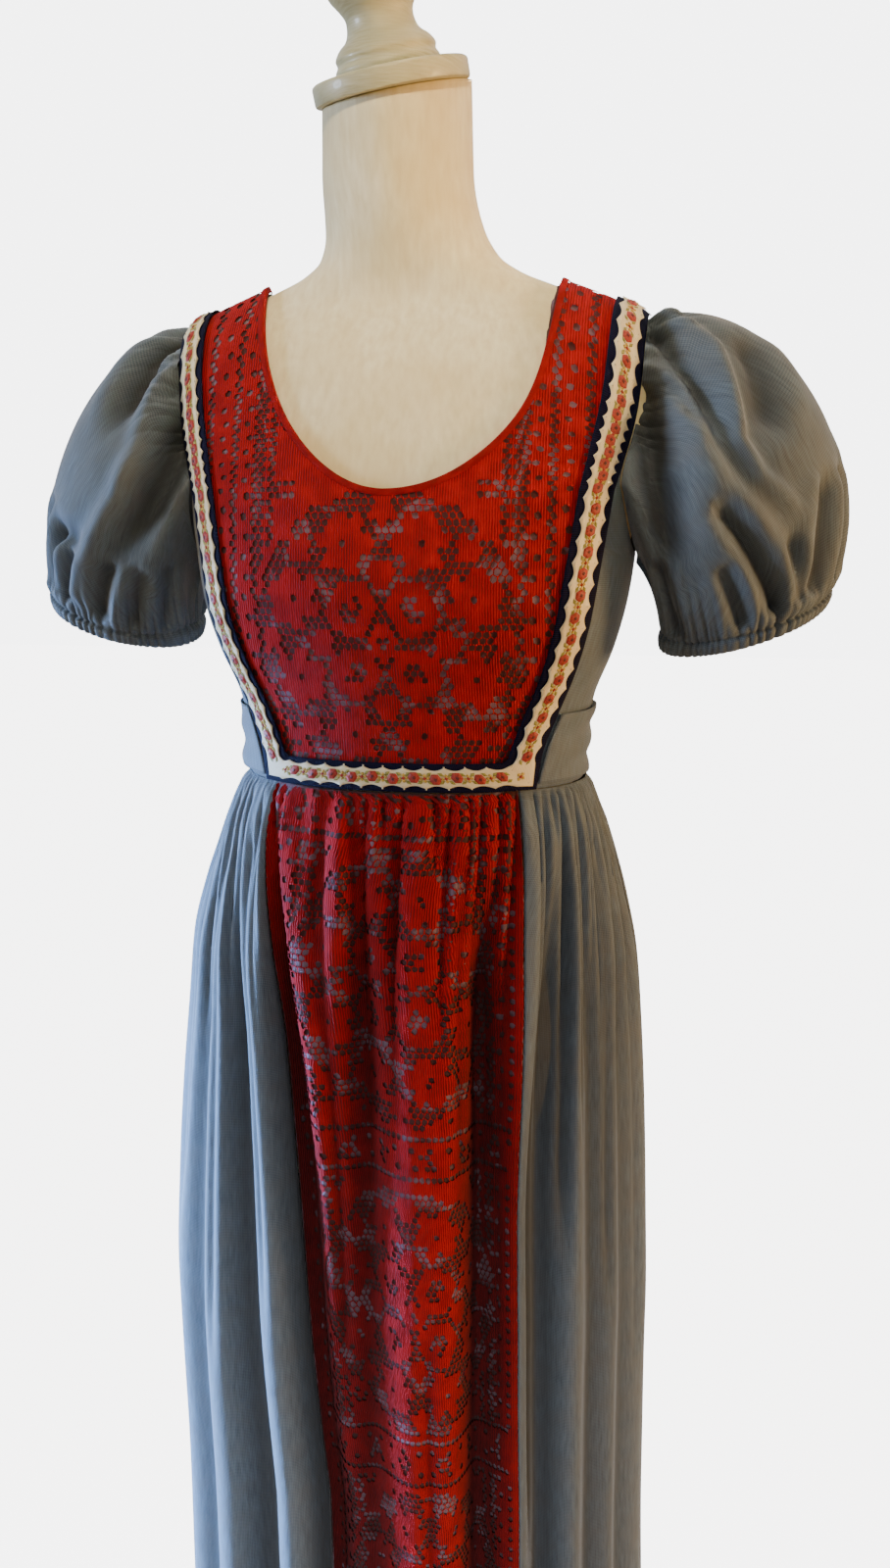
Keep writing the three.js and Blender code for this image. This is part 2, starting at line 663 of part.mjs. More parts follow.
// The same point, with the skirt's outward direction there as its out.
function skirtPlace(line, z, gather = 0) {
  const p = skirtPoint(line, z, gather);
  const over = skirtPoint(line + 0.4, z).sub(skirtPoint(line - 0.4, z));
  const up = skirtPoint(line, z + 3).sub(skirtPoint(line, z - 3));
  p.out = over.cross(up);
  p.out.z *= smooth(0, 30, waistHeight - z);
  p.out.normalize();
  return p;
}

function skirtWall(from, to, columns, lift) {
  const gap = 0.06; // degrees, about the seam gap's half at the waist
  const at = (i, j) => {
    const line = THREE.MathUtils.lerp(from + gap, to - gap, j / columns);
    return skirtPlace(line, skirtRows[i], j % 2 ? 1 : -1);
  };
  return wall({ rows: skirtRows.length - 1, columns, at, lift });
}
const seam = Object.fromEntries(
  skirtLines.filter((line) => !line.depth).map((line) => [line.name, line.thigh]),
);
const laceFrom = seam["lace seam right"];
const laceTo = seam["lace seam left"];
const laceColumns = 20;
add(dress, "skirt_front", skirtWall(laceFrom, laceTo, laceColumns, 0), colours.chambray);

// Eyelets of the skirt lace: two ladders down its length and a ring in each medallion
const skirtEyelets = [];
const cutSkirt = (line, z) => skirtEyelets.push({ place: skirtPlace(line, z), size: eyeletSize });
for (const line of [-13.4, 27])
  for (let z = 1000; z > hemHeight + 60; z -= 8 * eyeletPitch) cutSkirt(line, z);
for (let k = 0; k < 8; k++) {
  const swing = ((k + 0.5) / 8) * 2 * Math.PI;
  cutSkirt(9.5 + 6.5 * Math.sin(swing), 900 + 34 * Math.cos(swing));
}
add(
  dress,
  "skirt_front_lace",
  pierce(skirtWall(laceFrom, laceTo, laceColumns, laceLift), skirtEyelets),
  colours.lace,
);
add(dress, "skirt_side_left", skirtWall(laceTo, 90, 19, 0), colours.chambray);
add(dress, "skirt_side_right", skirtWall(-90, laceFrom, 22, 0), colours.chambray);
add(dress, "skirt_back_left", skirtWall(90, 180, 27, 0), colours.chambray);
add(dress, "skirt_back_right", skirtWall(-180, -90, 27, 0), colours.chambray);

// Sash: each half lies over the bodice from the ribbon's edge to the knot at the back.
const sashLift = clothThickness + 1.6;
const sashSteps = 13;
for (const [name, side] of [["left", 1], ["right", -1]]) {
  const at = (i, j) => {
    const row = THREE.MathUtils.lerp(sashTop - sashWidth, sashTop, i / 3);
    const start = seamTurn(row, -(ribbonWidth / 2 + 5));
    const stop = turnAt(4, row, 1);
    const sweep = THREE.MathUtils.lerp(start, Math.PI - stop, j / sashSteps);
    const inFront = sweep < Math.PI / 2;
    return bodicePlace(side * (inFront ? sweep : Math.PI - sweep), row, inFront ? -1 : 1);
  };
  add(
    dress,
    `sash_${name}`,
    wall({
      rows: 3,
      columns: sashSteps,
      at: (i, j) => at(i, side > 0 ? j : sashSteps - j),
      lift: sashLift,
    }),
    colours.chambray,
  );
}

// The knot is a plump roll across the sash's two ends, and the tails hang from under it.
const sashBack = bodicePoint(0.01, knot.z, 1).y + sashLift + clothThickness;
const knotY = sashBack + knot.depth / 2 + seamGap;
const knotShape = new THREE.SphereGeometry(0.5, 14, 8);
knotShape.deleteAttribute("normal");
knotShape.deleteAttribute("uv");
const knotMesh = add(dress, "sash_knot", knotShape, colours.chambray);
knotMesh.scale.set(knot.width, knot.depth, knot.height);
knotMesh.position.set(0, knotY, knot.z);

const tailRows = 10;
for (const [name, side] of [["left", 1], ["right", -1]]) {
  const top = knot.z - knot.height / 2 + 0.1; // clear of the knot, which is round below
  const at = (i, j) => {
    const fall = i / tailRows;
    const z = top - tailLength[name] * fall;
    const half = THREE.MathUtils.lerp(9, sashWidth / 2, smooth(0, 0.4, fall));
    const middle = side * (half + 2 + 24 * fall ** 2);
    const x = middle + half * (j / 2 - 1);
    const sideways = along(skirtOutline, "z", z, "side");
    const back = along(skirtOutline, "z", z, "back");
    const roll = 2.5 * Math.cos((j * Math.PI) / 2) * Math.sin(fall * 5 + side);
    const lain = back * Math.sqrt(1 - (x / sideways) ** 2) + 7 + roll;
    const y = THREE.MathUtils.lerp(knotY, lain, smooth(0, 0.18, fall));
    return vector(x, y, z - 8 * fall * (1 - j / 2) * side);
  };
  add(
    dress,
    `sash_tail_${name}`,
    wall({ rows: tailRows, columns: 4, at, lift: 0 }),
    colours.chambray,
  );
}

// Dress form: torso and neck in jersey, then a painted cap and knob, a pole and a base.
function torso() {
  const rings = figure.map((section) => section.z);
  const around = 24;
  const positions = [];
  const faces = [];
  const ringPoint = (z, k) => {
    const angle = (k / around) * 2 * Math.PI;
    const [s, c] = [Math.sin(angle), -Math.cos(angle)];
    const power = 2 / along(figure, "z", z, "power");
    const side = along(figure, "z", z, "side");
    const depth = along(figure, "z", z, c < 0 ? "front" : "back");
    const y = depth * Math.sign(c) * Math.abs(c) ** power;
    const x = side * Math.sign(s) * Math.abs(s) ** power;
    // The top of the neck leans with the cap that lies on it.
    const lean = (y - neckTop.y) * Math.tan(capForwardTilt) - x * Math.tan(capSideTilt);
    const climb = smooth(1445, figure[figure.length - 1].z, z);
    return [x + neckTop.x * smooth(1430, 1520, z), y, z + lean * climb];
  };
  for (const z of rings)
    for (let k = 0; k < around; k++) positions.push(...ringPoint(z, k));
  const lowest = positions.length / 3;
  positions.push(0, 0, rings[0]);
  positions.push(neckTop.x, neckTop.y, rings[rings.length - 1]);
  const at = (i, k) => i * around + (k % around);
  for (let i = 0; i < rings.length - 1; i++)
    for (let k = 0; k < around; k++) {
      faces.push(at(i, k), at(i, k + 1), at(i + 1, k + 1));
      faces.push(at(i, k), at(i + 1, k + 1), at(i + 1, k));
    }
  for (let k = 0; k < around; k++) {
    faces.push(lowest, at(0, k + 1), at(0, k));
    faces.push(lowest + 1, at(rings.length - 1, k), at(rings.length - 1, k + 1));
  }
  return solidGeometry(positions, faces);
}
add(stand, "form_torso", torso(), colours.jersey, 0.85);

// A turned piece: radius and height pairs, from the axis round to the axis.
function turned(profile, segments) {
  const lathe = new THREE.LatheGeometry(
    profile.map(([r, h]) => new THREE.Vector2(r, h)),
    segments,
  );
  lathe.rotateX(Math.PI / 2);
  return lathe;
}
const neckCap = turned(
  [
    [0, 0],
    [capRadius - 1.5, 0],
    [capRadius, 2],
    [capRadius, capThickness - 2],
    [capRadius - 1.5, capThickness],
    [0, capThickness],
  ],
  24,
);
const knob = turned(
  [
    [0, 0],
    [35, 0],
    [36, 4],
    [34, 8],
    [34.5, 12],
    [31, 17],
    [26, 21],
    [23.5, 26],
    [23, 33],
    [26, 39],
    [31.5, 47],
    [33.5, 57],
    [31.5, 68],
    [25, 77],
    [13, 83],
    [0, 85],
  ],
  18,
);
const head = new THREE.Group();
head.position.set(neckTop.x, neckTop.y, neckTop.z);
head.rotation.set(capForwardTilt, capSideTilt, 0);
add(head, "form_neck_cap", neckCap, colours.paint, 0.45);
const knobMesh = add(head, "form_knob", knob, colours.paint, 0.45);
knobMesh.position.z = capThickness + seamGap;
stand.add(head);

const poleTop = figure[0].z - seamGap;
const pole = new THREE.CylinderGeometry(poleRadius, poleRadius, poleTop - baseThickness - seamGap, 20);
pole.rotateX(Math.PI / 2);
add(stand, "form_pole", pole, colours.steel, 0.35, 1).position.z =
  (poleTop + baseThickness + seamGap) / 2;
add(
  stand,
  "form_base",
  turned(
    [
      [0, 0],
      [baseRadius, 0],
      [baseRadius, 10],
      [baseRadius - 8, 18],
      [60, 24],
      [34, baseThickness],
      [0, baseThickness],
    ],
    32,
  ),
  colours.paint,
  0.45,
);

const object = new THREE.Group();
object.add(stand, dress);
export default object;
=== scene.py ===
import math

import bmesh
import bpy
import numpy as np
from mathutils import Matrix, Vector


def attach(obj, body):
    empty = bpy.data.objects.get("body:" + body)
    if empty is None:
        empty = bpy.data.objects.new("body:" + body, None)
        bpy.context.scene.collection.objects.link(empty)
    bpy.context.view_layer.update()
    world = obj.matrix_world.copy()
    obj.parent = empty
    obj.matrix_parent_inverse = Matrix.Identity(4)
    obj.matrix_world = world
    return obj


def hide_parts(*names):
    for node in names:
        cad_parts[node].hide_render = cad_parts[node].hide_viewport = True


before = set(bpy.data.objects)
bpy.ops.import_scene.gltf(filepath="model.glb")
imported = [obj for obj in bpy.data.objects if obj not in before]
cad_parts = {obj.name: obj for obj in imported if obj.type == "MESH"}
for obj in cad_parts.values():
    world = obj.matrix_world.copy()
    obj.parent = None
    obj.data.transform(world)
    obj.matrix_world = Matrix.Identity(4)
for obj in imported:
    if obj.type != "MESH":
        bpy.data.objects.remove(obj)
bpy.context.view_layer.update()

MM = 0.001

# Camera: 0.9 m from the form's middle, a little to the wearer's left, looking down.
# In millimetres and degrees.
CAMERA_DISTANCE = 905
CAMERA_HEIGHT = 1272
CAMERA_AZIMUTH = math.radians(10.5)
CAMERA_PITCH = math.radians(11.9)
CAMERA_SIDESTEP = 22
CAMERA_LENS = 27.25


def add_object(name, data):
    """An object in the scene, at the origin."""
    made = bpy.data.objects.new(name, data)
    bpy.context.scene.collection.objects.link(made)
    return made


def make_camera():
    sine, cosine = math.sin(CAMERA_AZIMUTH), math.cos(CAMERA_AZIMUTH)
    data = bpy.data.cameras.new("camera")
    data.lens = CAMERA_LENS
    data.sensor_width = 36
    data.clip_start = 0.05
    camera = add_object("camera", data)
    camera.location = (
        (CAMERA_DISTANCE * sine + CAMERA_SIDESTEP * cosine) * MM,
        (-CAMERA_DISTANCE * cosine + CAMERA_SIDESTEP * sine) * MM,
        CAMERA_HEIGHT * MM,
    )
    camera.rotation_euler = (math.pi / 2 - CAMERA_PITCH, 0, CAMERA_AZIMUTH)
    bpy.context.scene.camera = camera


make_camera()

# Sizes in millimetres, the same as the solids'
HEM = 70
WAIST = 1094
ARMPIT = 1252
PIVOT = 1300
YOKE_REACH = 120
SHOULDER = PIVOT + YOKE_REACH * math.pi / 2
SHOULDER_TOP = SHOULDER - 0.3
NECK_HALF_WIDTH = 107.5
NECK_POWER = {"left": 2.15, "right": 2}
NECK_INSET = 15
FRONT_NECK_ROW = 1300
BACK_NECK_ROW = 1408
RIBBON_WIDTH = 21
BRAID_WIDTH = 15.5
BRAID_SCALLOP = 2.2
ROSE_SPACING = 14
BRAID_SEAM_GAP = 0.15  # half the gap between the front and the side fronts
ARM_GAP = 0.001  # between a sleeve and the bodice, as a turn
# How far each layer lies off the bodice
LINING_LIFT = 0.9
CLOTH_LIFT = 1.0
LACE_LIFT = 1.9
SASH_LIFT = 3.9
RIBBON_LIFT = 4.4
BRAID_LIFT = 5.6
SASH_WIDTH = 50
SASH_LOW = WAIST + 4


def curve(levels, heights, value):
    """A smooth curve through the heights at the levels, read at value. It has no bumps between
    them. A height is one number, or an array of value's shape."""
    chord = np.diff(heights, axis=0) / np.diff(levels).reshape((-1,) + (1,) * (heights.ndim - 1))
    before = np.concatenate([chord[:1], chord])
    after = np.concatenate([chord, chord[-1:]])
    total = before + after
    safe = np.where(np.abs(total) < 1e-12, 1, total)
    slope = np.where(before * after <= 0, 0, 2 * before * after / safe)
    value = np.clip(value, levels[0], levels[-1])
    i = np.clip(np.searchsorted(levels, value) - 1, 0, len(levels) - 2)
    pick = lambda a, k: a[k] if a.ndim == 1 else np.take_along_axis(a, k[None], 0)[0]
    step = levels[i + 1] - levels[i]
    t = (value - levels[i]) / step
    h = t * t * (3 - 2 * t)
    bend = pick(slope, i) * t * (1 - t) ** 2 - pick(slope, i + 1) * t * t * (1 - t)
    return pick(heights, i) * (1 - h) + pick(heights, i + 1) * h + step * bend


class Table:
    """Rows of numbers with named columns, read on a smooth curve along the first column."""

    def __init__(self, names, *rows):
        self.names = names.split()
        self.rows = np.array(sorted(rows), float)

    def at(self, value, name):
        return curve(self.rows[:, 0], self.rows[:, self.names.index(name)], value)


FIGURE = Table(
    "z side front back power ease",
    (780, 146, 82, 98, 2.2, 6),
    (880, 156, 88, 102, 2.2, 6),
    (960, 148, 84, 98, 2.2, 7),
    (1030, 133, 80, 88, 2.2, 8),
    (1095, 120, 78, 80, 2.2, 8),
    (1150, 127, 86, 82, 2.2, 6),
    (1190, 142, 97, 87, 2.3, 6),
    (1230, 153, 106, 93, 2.4, 5),
    (1270, 159, 103, 97, 2.4, 4),
    (1310, 165, 94, 98, 2.5, 3),
    (1350, 171, 80, 94, 2.5, 2.8),
    (1385, 173, 67, 86, 2.5, 2.8),
    (1404, 170, 57, 77, 2.4, 2.8),
    (1414, 163, 51, 69, 2.3, 2.8),
    (1421, 152, 47, 64, 2.2, 2.8),
    (1427, 140, 44, 60, 2.2, 2.8),
    (1434, 123, 42, 57, 2.1, 2.8),
    (1441, 104, 42, 54, 2.1, 2.8),
    (1451, 80, 44, 50, 2, 2.8),
    (1462, 65, 46, 48, 2, 2.8),
    (1480, 57, 50, 44, 2, 2.8),
    (1505, 54, 54, 38, 2, 2.8),
    (1566, 52, 60, 30, 2, 2.8),
)
BRAIDED_SEAM = Table(
    "row half",
    (1094, 84.5),
    (1125, 92),
    (1150, 101),
    (1184, 114),
    (1216, 122.5),
    (1250, 128),
    (1284, 133),
    (1312, 137),
    (1352, 142),
    (1411, 149),
    (SHOULDER, 155),
)
ARMHOLE = Table(
    "row front back",
    (ARMPIT, 163, 163),
    (1282, 156, 158),
    (1313, 151.5, 154),
    (1343, 153.5, 155),
    (1374, 157, 158),
    (1411, 161, 161),
    (1450, 164.5, 164.5),
    (SHOULDER, 166, 166),
)
SKIRT_OUTLINE = Table(
    "z side front back shift",
    (1094, 130, 88, 90, 0),
    (1075, 138, 93, 97, -1),
    (1040, 152, 102, 109, -2),
    (1000, 166, 109, 119, -4),
    (955, 178, 114, 127, -6),
    (900, 185, 119, 134, -7),
    (830, 192, 123, 139, -9),
    (745, 198, 126, 143, -11),
    (650, 202, 129, 146, -12),
    (500, 202, 132, 149, -10),
    (350, 205, 135, 152, -8),
    (200, 210, 138, 155, -6),
    (70, 214, 141, 158, -5),
)
# Lines down the skirt by their angle from the centre front, in degrees, at four heights.
# Those with a depth are the bottoms of folds, the others are seams.
SKIRT_LEVELS = (520, 770, 955, WAIST)
SKIRT_LINES = (
    # shin, thigh, hip, waist, depth, width
    (-180, -180, -180, -180, 0, 0),
    (-169, -168, -168, -168, 19, 4.6),
    (-151, -152, -153, -153, 15, 5),
    (-136, -137, -138, -138, 20, 4.8),
    (-122, -121, -121, -121, 17, 4.6),
    (-104, -105, -105, -106, 14, 5),
    (-90, -90, -90, -90, 0, 0),
    (-74, -75, -75, -80, 12, 5),
    (-54, -56, -60, -70, 13, 4.6),
    (-31.5, -37, -45, -58, 20, 4.6),
    (-13.9, -20.7, -30.5, -44, 0, 0),
    (-11.6, -17.6, -27.2, -39.5, 25, 4.2),
    (0.2, -1.1, -3.8, -8, 15, 4.6),
    (25.8, 26, 26, 33, 24, 4.4),
    (34.4, 34, 35.3, 42, 0, 0),
    (42.8, 42, 46, 54, 21, 4.4),
    (59, 59, 60.5, 68, 14, 5),
    (74, 74, 75, 80, 11, 5),
    (90, 90, 90, 90, 0, 0),
    (103, 104, 104, 104, 15, 5),
    (120, 119, 119, 119, 19, 4.6),
    (133, 134, 135, 135, 15, 4.8),
    (151, 151, 151, 151, 20, 4.8),
    (168, 167, 166, 166, 16, 4.6),
    (180, 180, 180, 180, 0, 0),
)
LACE_FROM, LACE_TO = -20.7, 34
SKIRT_SEAM = 0.06  # half the gap between panels, in degrees
SKIRT_TOP = WAIST - 0.6
# Softer creases between the folds: place by the line at the thigh, how deep and wide, and
# the heights between which each one shows.
SKIRT_CREASES = (
    (-171, 3, 2.2, 420, 1050),
    (-160, 5, 2.6, 480, 1060),
    (-144, 3, 2.4, 90, 600),
    (-129, 5, 2.4, 560, 1060),
    (-113, 3, 2.4, 90, 640),
    (-97, 4, 2.4, 620, 1060),
    (-83, 3, 2.4, 700, 1060),
    (-66, 4, 2.2, 760, 1075),
    (-47, 4, 1.9, 640, 1070),
    (-29, 3.5, 1.5, 700, 1070),
    (-8, 4, 1.7, 640, 1080),
    (6, 3, 1.7, 860, 1080),
    (12.5, 3, 1.8, 90, 700),
    (19.5, 3.5, 1.4, 800, 1075),
    (31, 3, 1, 560, 1075),
    (38, 3, 1.1, 500, 1075),
    (48.5, 6, 1.8, 760, 1075),
    (53.5, 3.5, 1.5, 860, 1080),
    (66, 4, 2.2, 700, 1070),
    (82, 3, 2.4, 620, 1050),
    (97, 4, 2.4, 620, 1060),
    (111, 3, 2.4, 90, 620),
    (127, 5, 2.4, 560, 1060),
    (143, 3, 2.4, 90, 600),
    (159, 5, 2.6, 520, 1060),
    (173, 3, 2.2, 420, 1050),
)


def smooth(low, high, x):
    t = np.clip((np.asarray(x, float) - low) / (high - low), 0, 1)
    return t * t * (3 - 2 * t)


def lerp(a, b, t):
    return a + (b - a) * t


def unit(v):
    return v / np.maximum(np.linalg.norm(v, axis=-1, keepdims=True), 1e-12)


# The bodice as two skins, front and back, read by turn and row


def figure_depth(y, z):
    """How far the figure reaches from its middle, to the front where y is below 0, else behind."""
    return np.where(y < 0, FIGURE.at(z, "front"), FIGURE.at(z, "back"))


def bodice_reach(p):
    """Under 1 inside the bodice, 1 on it and more outside."""
    x, y, z = p[..., 0], p[..., 1], p[..., 2]
    ease = FIGURE.at(z, "ease")
    level = z - ease * smooth(1300, 1400, z)
    side = FIGURE.at(level, "side") + ease
    depth = figure_depth(y, level) + ease
    power = FIGURE.at(level, "power")
    return np.abs(x / side) ** power + np.abs(y / depth) ** power


class Skin:
    """A surface known at a grid of points, read between them by column and row."""

    def __init__(self, columns, rows, points, normals):
        self.columns, self.rows = np.asarray(columns, float), np.asarray(rows, float)
        self.points, self.normals = points, normals

    def place(self, column, row, lift=0.0):
        column, row = np.broadcast_arrays(np.asarray(column, float), np.asarray(row, float))
        i = np.clip(np.searchsorted(self.rows, row) - 1, 0, len(self.rows) - 2)
        j = np.clip(np.searchsorted(self.columns, column) - 1, 0, len(self.columns) - 2)
        s = (row - self.rows[i]) / (self.rows[i + 1] - self.rows[i])
        t = (column - self.columns[j]) / (self.columns[j + 1] - self.columns[j])
        s, t = s[..., None], t[..., None]
        between = lambda a: lerp(lerp(a[i, j], a[i, j + 1], t), lerp(a[i + 1, j], a[i + 1, j + 1], t), s)
        return between(self.points) + unit(between(self.normals)) * np.asarray(lift)[..., None]


def bodice_skin(face):
    """The front or back of the bodice. Over the shoulders its rows swing round PIVOT."""
    rows = np.linspace(WAIST - 2, SHOULDER, 200)
    turns = np.linspace(0, math.pi / 2, 121)
    beta, row = np.meshgrid(turns, rows)
    climb = np.maximum(0, row - PIVOT) / YOKE_REACH
    centre = np.stack([0 * row, 0 * row, np.minimum(row, PIVOT)], -1)
    way = np.stack(
        [np.sin(beta), face * np.cos(beta) * np.cos(climb), np.cos(beta) * np.sin(climb)], -1
    )
    near, far = np.zeros_like(row), np.full_like(row, 260.0)
    for _ in range(26):
        middle = (near + far) / 2
        inside = bodice_reach(centre + way * middle[..., None]) < 1
        near, far = np.where(inside, middle, near), np.where(inside, far, middle)
    p = centre + way * near[..., None]
    rise = [bodice_reach(p + step) - bodice_reach(p - step) for step in 0.5 * np.eye(3)]
    rise[2] = rise[2] * smooth(WAIST, 1120, row)
    n = unit(np.stack(rise, -1))
    flip = np.array([-1, 1, 1])
    p = np.concatenate([p[:, :0:-1] * flip, p], 1)
    n = np.concatenate([n[:, :0:-1] * flip, n], 1)
    turns = np.concatenate([-turns[:0:-1], turns])
    return Skin(turns, rows, p, n)


FRONT, BACK = bodice_skin(-1), bodice_skin(1)
SKIN = {-1: FRONT, 1: BACK}


def turn_where(skin, measure, value, row):
    """The turn at which a measure of the skin, which grows with the turn, has a value at a row."""
    value, row = np.broadcast_arrays(np.asarray(value, float), np.asarray(row, float))
    shape = value.shape
    value, row = value.ravel(), row.ravel()
    i = np.clip(np.searchsorted(skin.rows, row) - 1, 0, len(skin.rows) - 2)
    s = ((row - skin.rows[i]) / (skin.rows[i + 1] - skin.rows[i]))[:, None]
    line = lerp(measure[i], measure[i + 1], s)
    j = np.clip((line < value[:, None]).sum(1) - 1, 0, line.shape[1] - 2)
    k = np.arange(len(value))
    step = np.maximum(line[k, j + 1] - line[k, j], 1e-9)
    t = np.clip((value - line[k, j]) / step, 0, 1)
    return lerp(skin.columns[j], skin.columns[j + 1], t).reshape(shape)


def turn_at(x, row, face):
    skin = SKIN[face]
    sign = np.sign(x)
    return sign * turn_where(skin, skin.points[..., 0], np.abs(x), row)


def seam_turn(row, inwards):
    return turn_at(BRAIDED_SEAM.at(row, "half") - inwards, row, -1)


def arm_turn(row, side):
    row = np.asarray(row, float)
    face = -1 if side == "front" else 1
    return np.where(row <= ARMPIT + 0.01, math.pi / 2, turn_at(ARMHOLE.at(row, side), row, face))


def neckline(share, lowest, face, side):
    """A point of the neckline, in turn and row; share runs from the middle to the shoulder seam."""
    swing = np.asarray(share, float) * math.pi / 2
    leans_in = side < 0 and face < 0
    power = NECK_POWER["right" if leans_in else "left"]
    inset = NECK_INSET * np.sin(swing) * np.sqrt(np.clip(np.cos(swing), 0, 1)) if leans_in else 0
    x = NECK_HALF_WIDTH * np.sin(swing) ** (2 / power) - inset
    row = SHOULDER_TOP - (SHOULDER_TOP - lowest) * np.clip(np.cos(swing), 0, 1) ** (2 / power)
    return turn_at(x, row, face), row


def scooped_panel(share, climb, neck_share, lowest, face, side, edge):
    """Turn and row of a panel with a scooped neck. share runs from the middle to the edge,
    climb from the waist to the top."""
    corner = turn_at(NECK_HALF_WIDTH, SHOULDER_TOP, face)
    neck_turn, neck_row = neckline(np.minimum(share / neck_share, 1), lowest, face, side)
    past = np.clip((share - neck_share) / (1 - neck_share), 0, 1)
    on_neck = share < neck_share
    top_row = np.where(on_neck, neck_row, SHOULDER_TOP)
    top_turn = np.where(on_neck, neck_turn, lerp(corner, edge(np.full_like(share, SHOULDER)), past))
    row = lerp(WAIST, top_row, climb)
    part = lerp(share, top_turn / edge(top_row), smooth(0, 1, climb))
    return side * part * edge(row), row


# Mesh helpers


def mesh_of(bm, name):
    mesh = bpy.data.meshes.new(name)
    bm.to_mesh(mesh)
    bm.free()
    return mesh


def weld(mesh, reach=0.01, close_ends=False):
    """Joins corners that lie within reach of each other, in millimetres."""
    bm = bmesh.new()
    bm.from_mesh(mesh)
    bmesh.ops.remove_doubles(bm, verts=bm.verts, dist=reach * MM)
    if close_ends:
        bmesh.ops.holes_fill(bm, edges=bm.edges, sides=0)
        bmesh.ops.recalc_face_normals(bm, faces=bm.faces)
    bm.to_mesh(mesh)
    bm.free()


def piece_from(mesh, name, material, node=None, flat=False):
    piece = add_object(name, mesh)
    mesh.materials.append(material)
    mesh.polygons.foreach_set("use_smooth", [not flat] * len(mesh.polygons))
    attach(piece, "root")
    if node:
        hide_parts(node)
    return piece


def grid_mesh(name, points, uv, fold=None):
    """A cloth sheet: a flat grid whose corners are moved to points[row, column]. fold says how
    deep in a fold each point lies, from 0 to 1, for the painted shade in the cloth's colour."""
    rows, columns = points.shape[0] - 1, points.shape[1] - 1
    bm = bmesh.new()
    bmesh.ops.create_grid(bm, x_segments=columns, y_segments=rows, size=1, calc_uvs=False)
    mesh = mesh_of(bm, name)
    flat = np.empty(len(mesh.vertices) * 3)
    mesh.vertices.foreach_get("co", flat)
    flat = flat.reshape(-1, 3)
    j = np.rint((flat[:, 0] + 1) / 2 * columns).astype(int)
    i = np.rint((flat[:, 1] + 1) / 2 * rows).astype(int)
    mesh.vertices.foreach_set("co", (points[i, j] * MM).ravel())
    write_uv(mesh, uv[i, j])
    write_fold(mesh, np.zeros(len(i)) if fold is None else fold[i, j])
    mesh.update()
    return mesh


def write_fold(mesh, fold):
    layer = mesh.attributes.new("fold", "FLOAT", "POINT")
    layer.data.foreach_set("value", np.clip(fold, 0, 1).astype(np.float32))


def write_uv(mesh, uv):
    corners = np.empty(len(mesh.loops), int)
    mesh.loops.foreach_get("vertex_index", corners)
    layer = mesh.uv_layers.new(name="cloth")
    layer.data.foreach_set("uv", (uv[corners] * MM).ravel())


def cloth_uv(points):
    """Distances over the cloth in millimetres, sideways and down its length."""
    sideways = np.linalg.norm(np.diff(points, axis=1), axis=-1)
    across = np.concatenate([np.zeros((len(points), 1)), np.cumsum(sideways, 1)], 1)
    across = across - across[:, -1:] / 2
    upward = np.linalg.norm(np.diff(points, axis=0), axis=-1).mean(1)
    up = np.concatenate([[0], np.cumsum(upward)])
    return np.stack([across, np.broadcast_to(up[:, None], across.shape)], -1)


def area_of(points):
    a = points[1:, 1:] - points[:-1, :-1]
    b = points[1:, :-1] - points[:-1, 1:]
    return np.linalg.norm(np.cross(a, b), axis=-1).sum() / 2


def cloth(name, points, node, held, rests_on, look=None, thick=0.8, uv=None, fold=None):
    """A sewn panel: its mesh and its thickness. It is of chambray, unless look says which
    material it has."""
    material, slot = look or (CHAMBRAY, "chambray")
    mesh = grid_mesh(name, points, cloth_uv(points) if uv is None else uv, fold)
    piece = piece_from(mesh, name, material, node)
    if thick:
        solid = piece.modifiers.new("thickness", "SOLIDIFY")
        solid.thickness = thick * MM
        solid.offset = -1
    return piece


# Materials


def linear(hex_colour):
    """An sRGB hex colour as linear red, green, blue and alpha."""
    parts = [int(hex_colour[k : k + 2], 16) / 255 for k in (1, 3, 5)]
    return tuple(c / 12.92 if c <= 0.04045 else ((c + 0.055) / 1.055) ** 2.4 for c in parts) + (1,)


def add_node(owner, kind, inputs, output=0, **settings):
    """Adds a node with its settings and links, and gives the output that the next one reads.

    inputs maps a socket's name or number to a value, or to the output of another node.
    """
    tree = owner.node_tree
    node = tree.nodes.new(kind)
    for key, value in settings.items():
        setattr(node, key, value)
    for key, value in inputs.items():
        if isinstance(value, bpy.types.NodeSocket):
            tree.links.new(value, node.inputs[key])
        else:
            node.inputs[key].default_value = value
    return node.outputs[output]


# The sockets of a Mix node that mixes colours
SHARE, FIRST, SECOND, MIXED = 0, 6, 7, 2


def surface_of(material):
    return material.node_tree.nodes["Principled BSDF"]


def new_material(name, **constants):
    """A material with its constants on the shader's own sockets."""
    material = bpy.data.materials.new(name)
    material.use_nodes = True
    for key, value in constants.items():
        surface_of(material).inputs[key.replace("_", " ")].default_value = value
    return material


def join(material, **patterns):
    """Joins patterns to the shader's sockets."""
    for key, output in patterns.items():
        material.node_tree.links.new(output, surface_of(material).inputs[key.replace("_", " ")])
    return material


def finish(material, colour, height, depth, strength):
    """Joins the finished colour to the shader, and a height as a relief of depth millimetres."""
    relief = {"Height": height, "Distance": depth * MM, "Strength": strength}
    return join(material, Base_Color=colour, Normal=add_node(material, "ShaderNodeBump", relief))


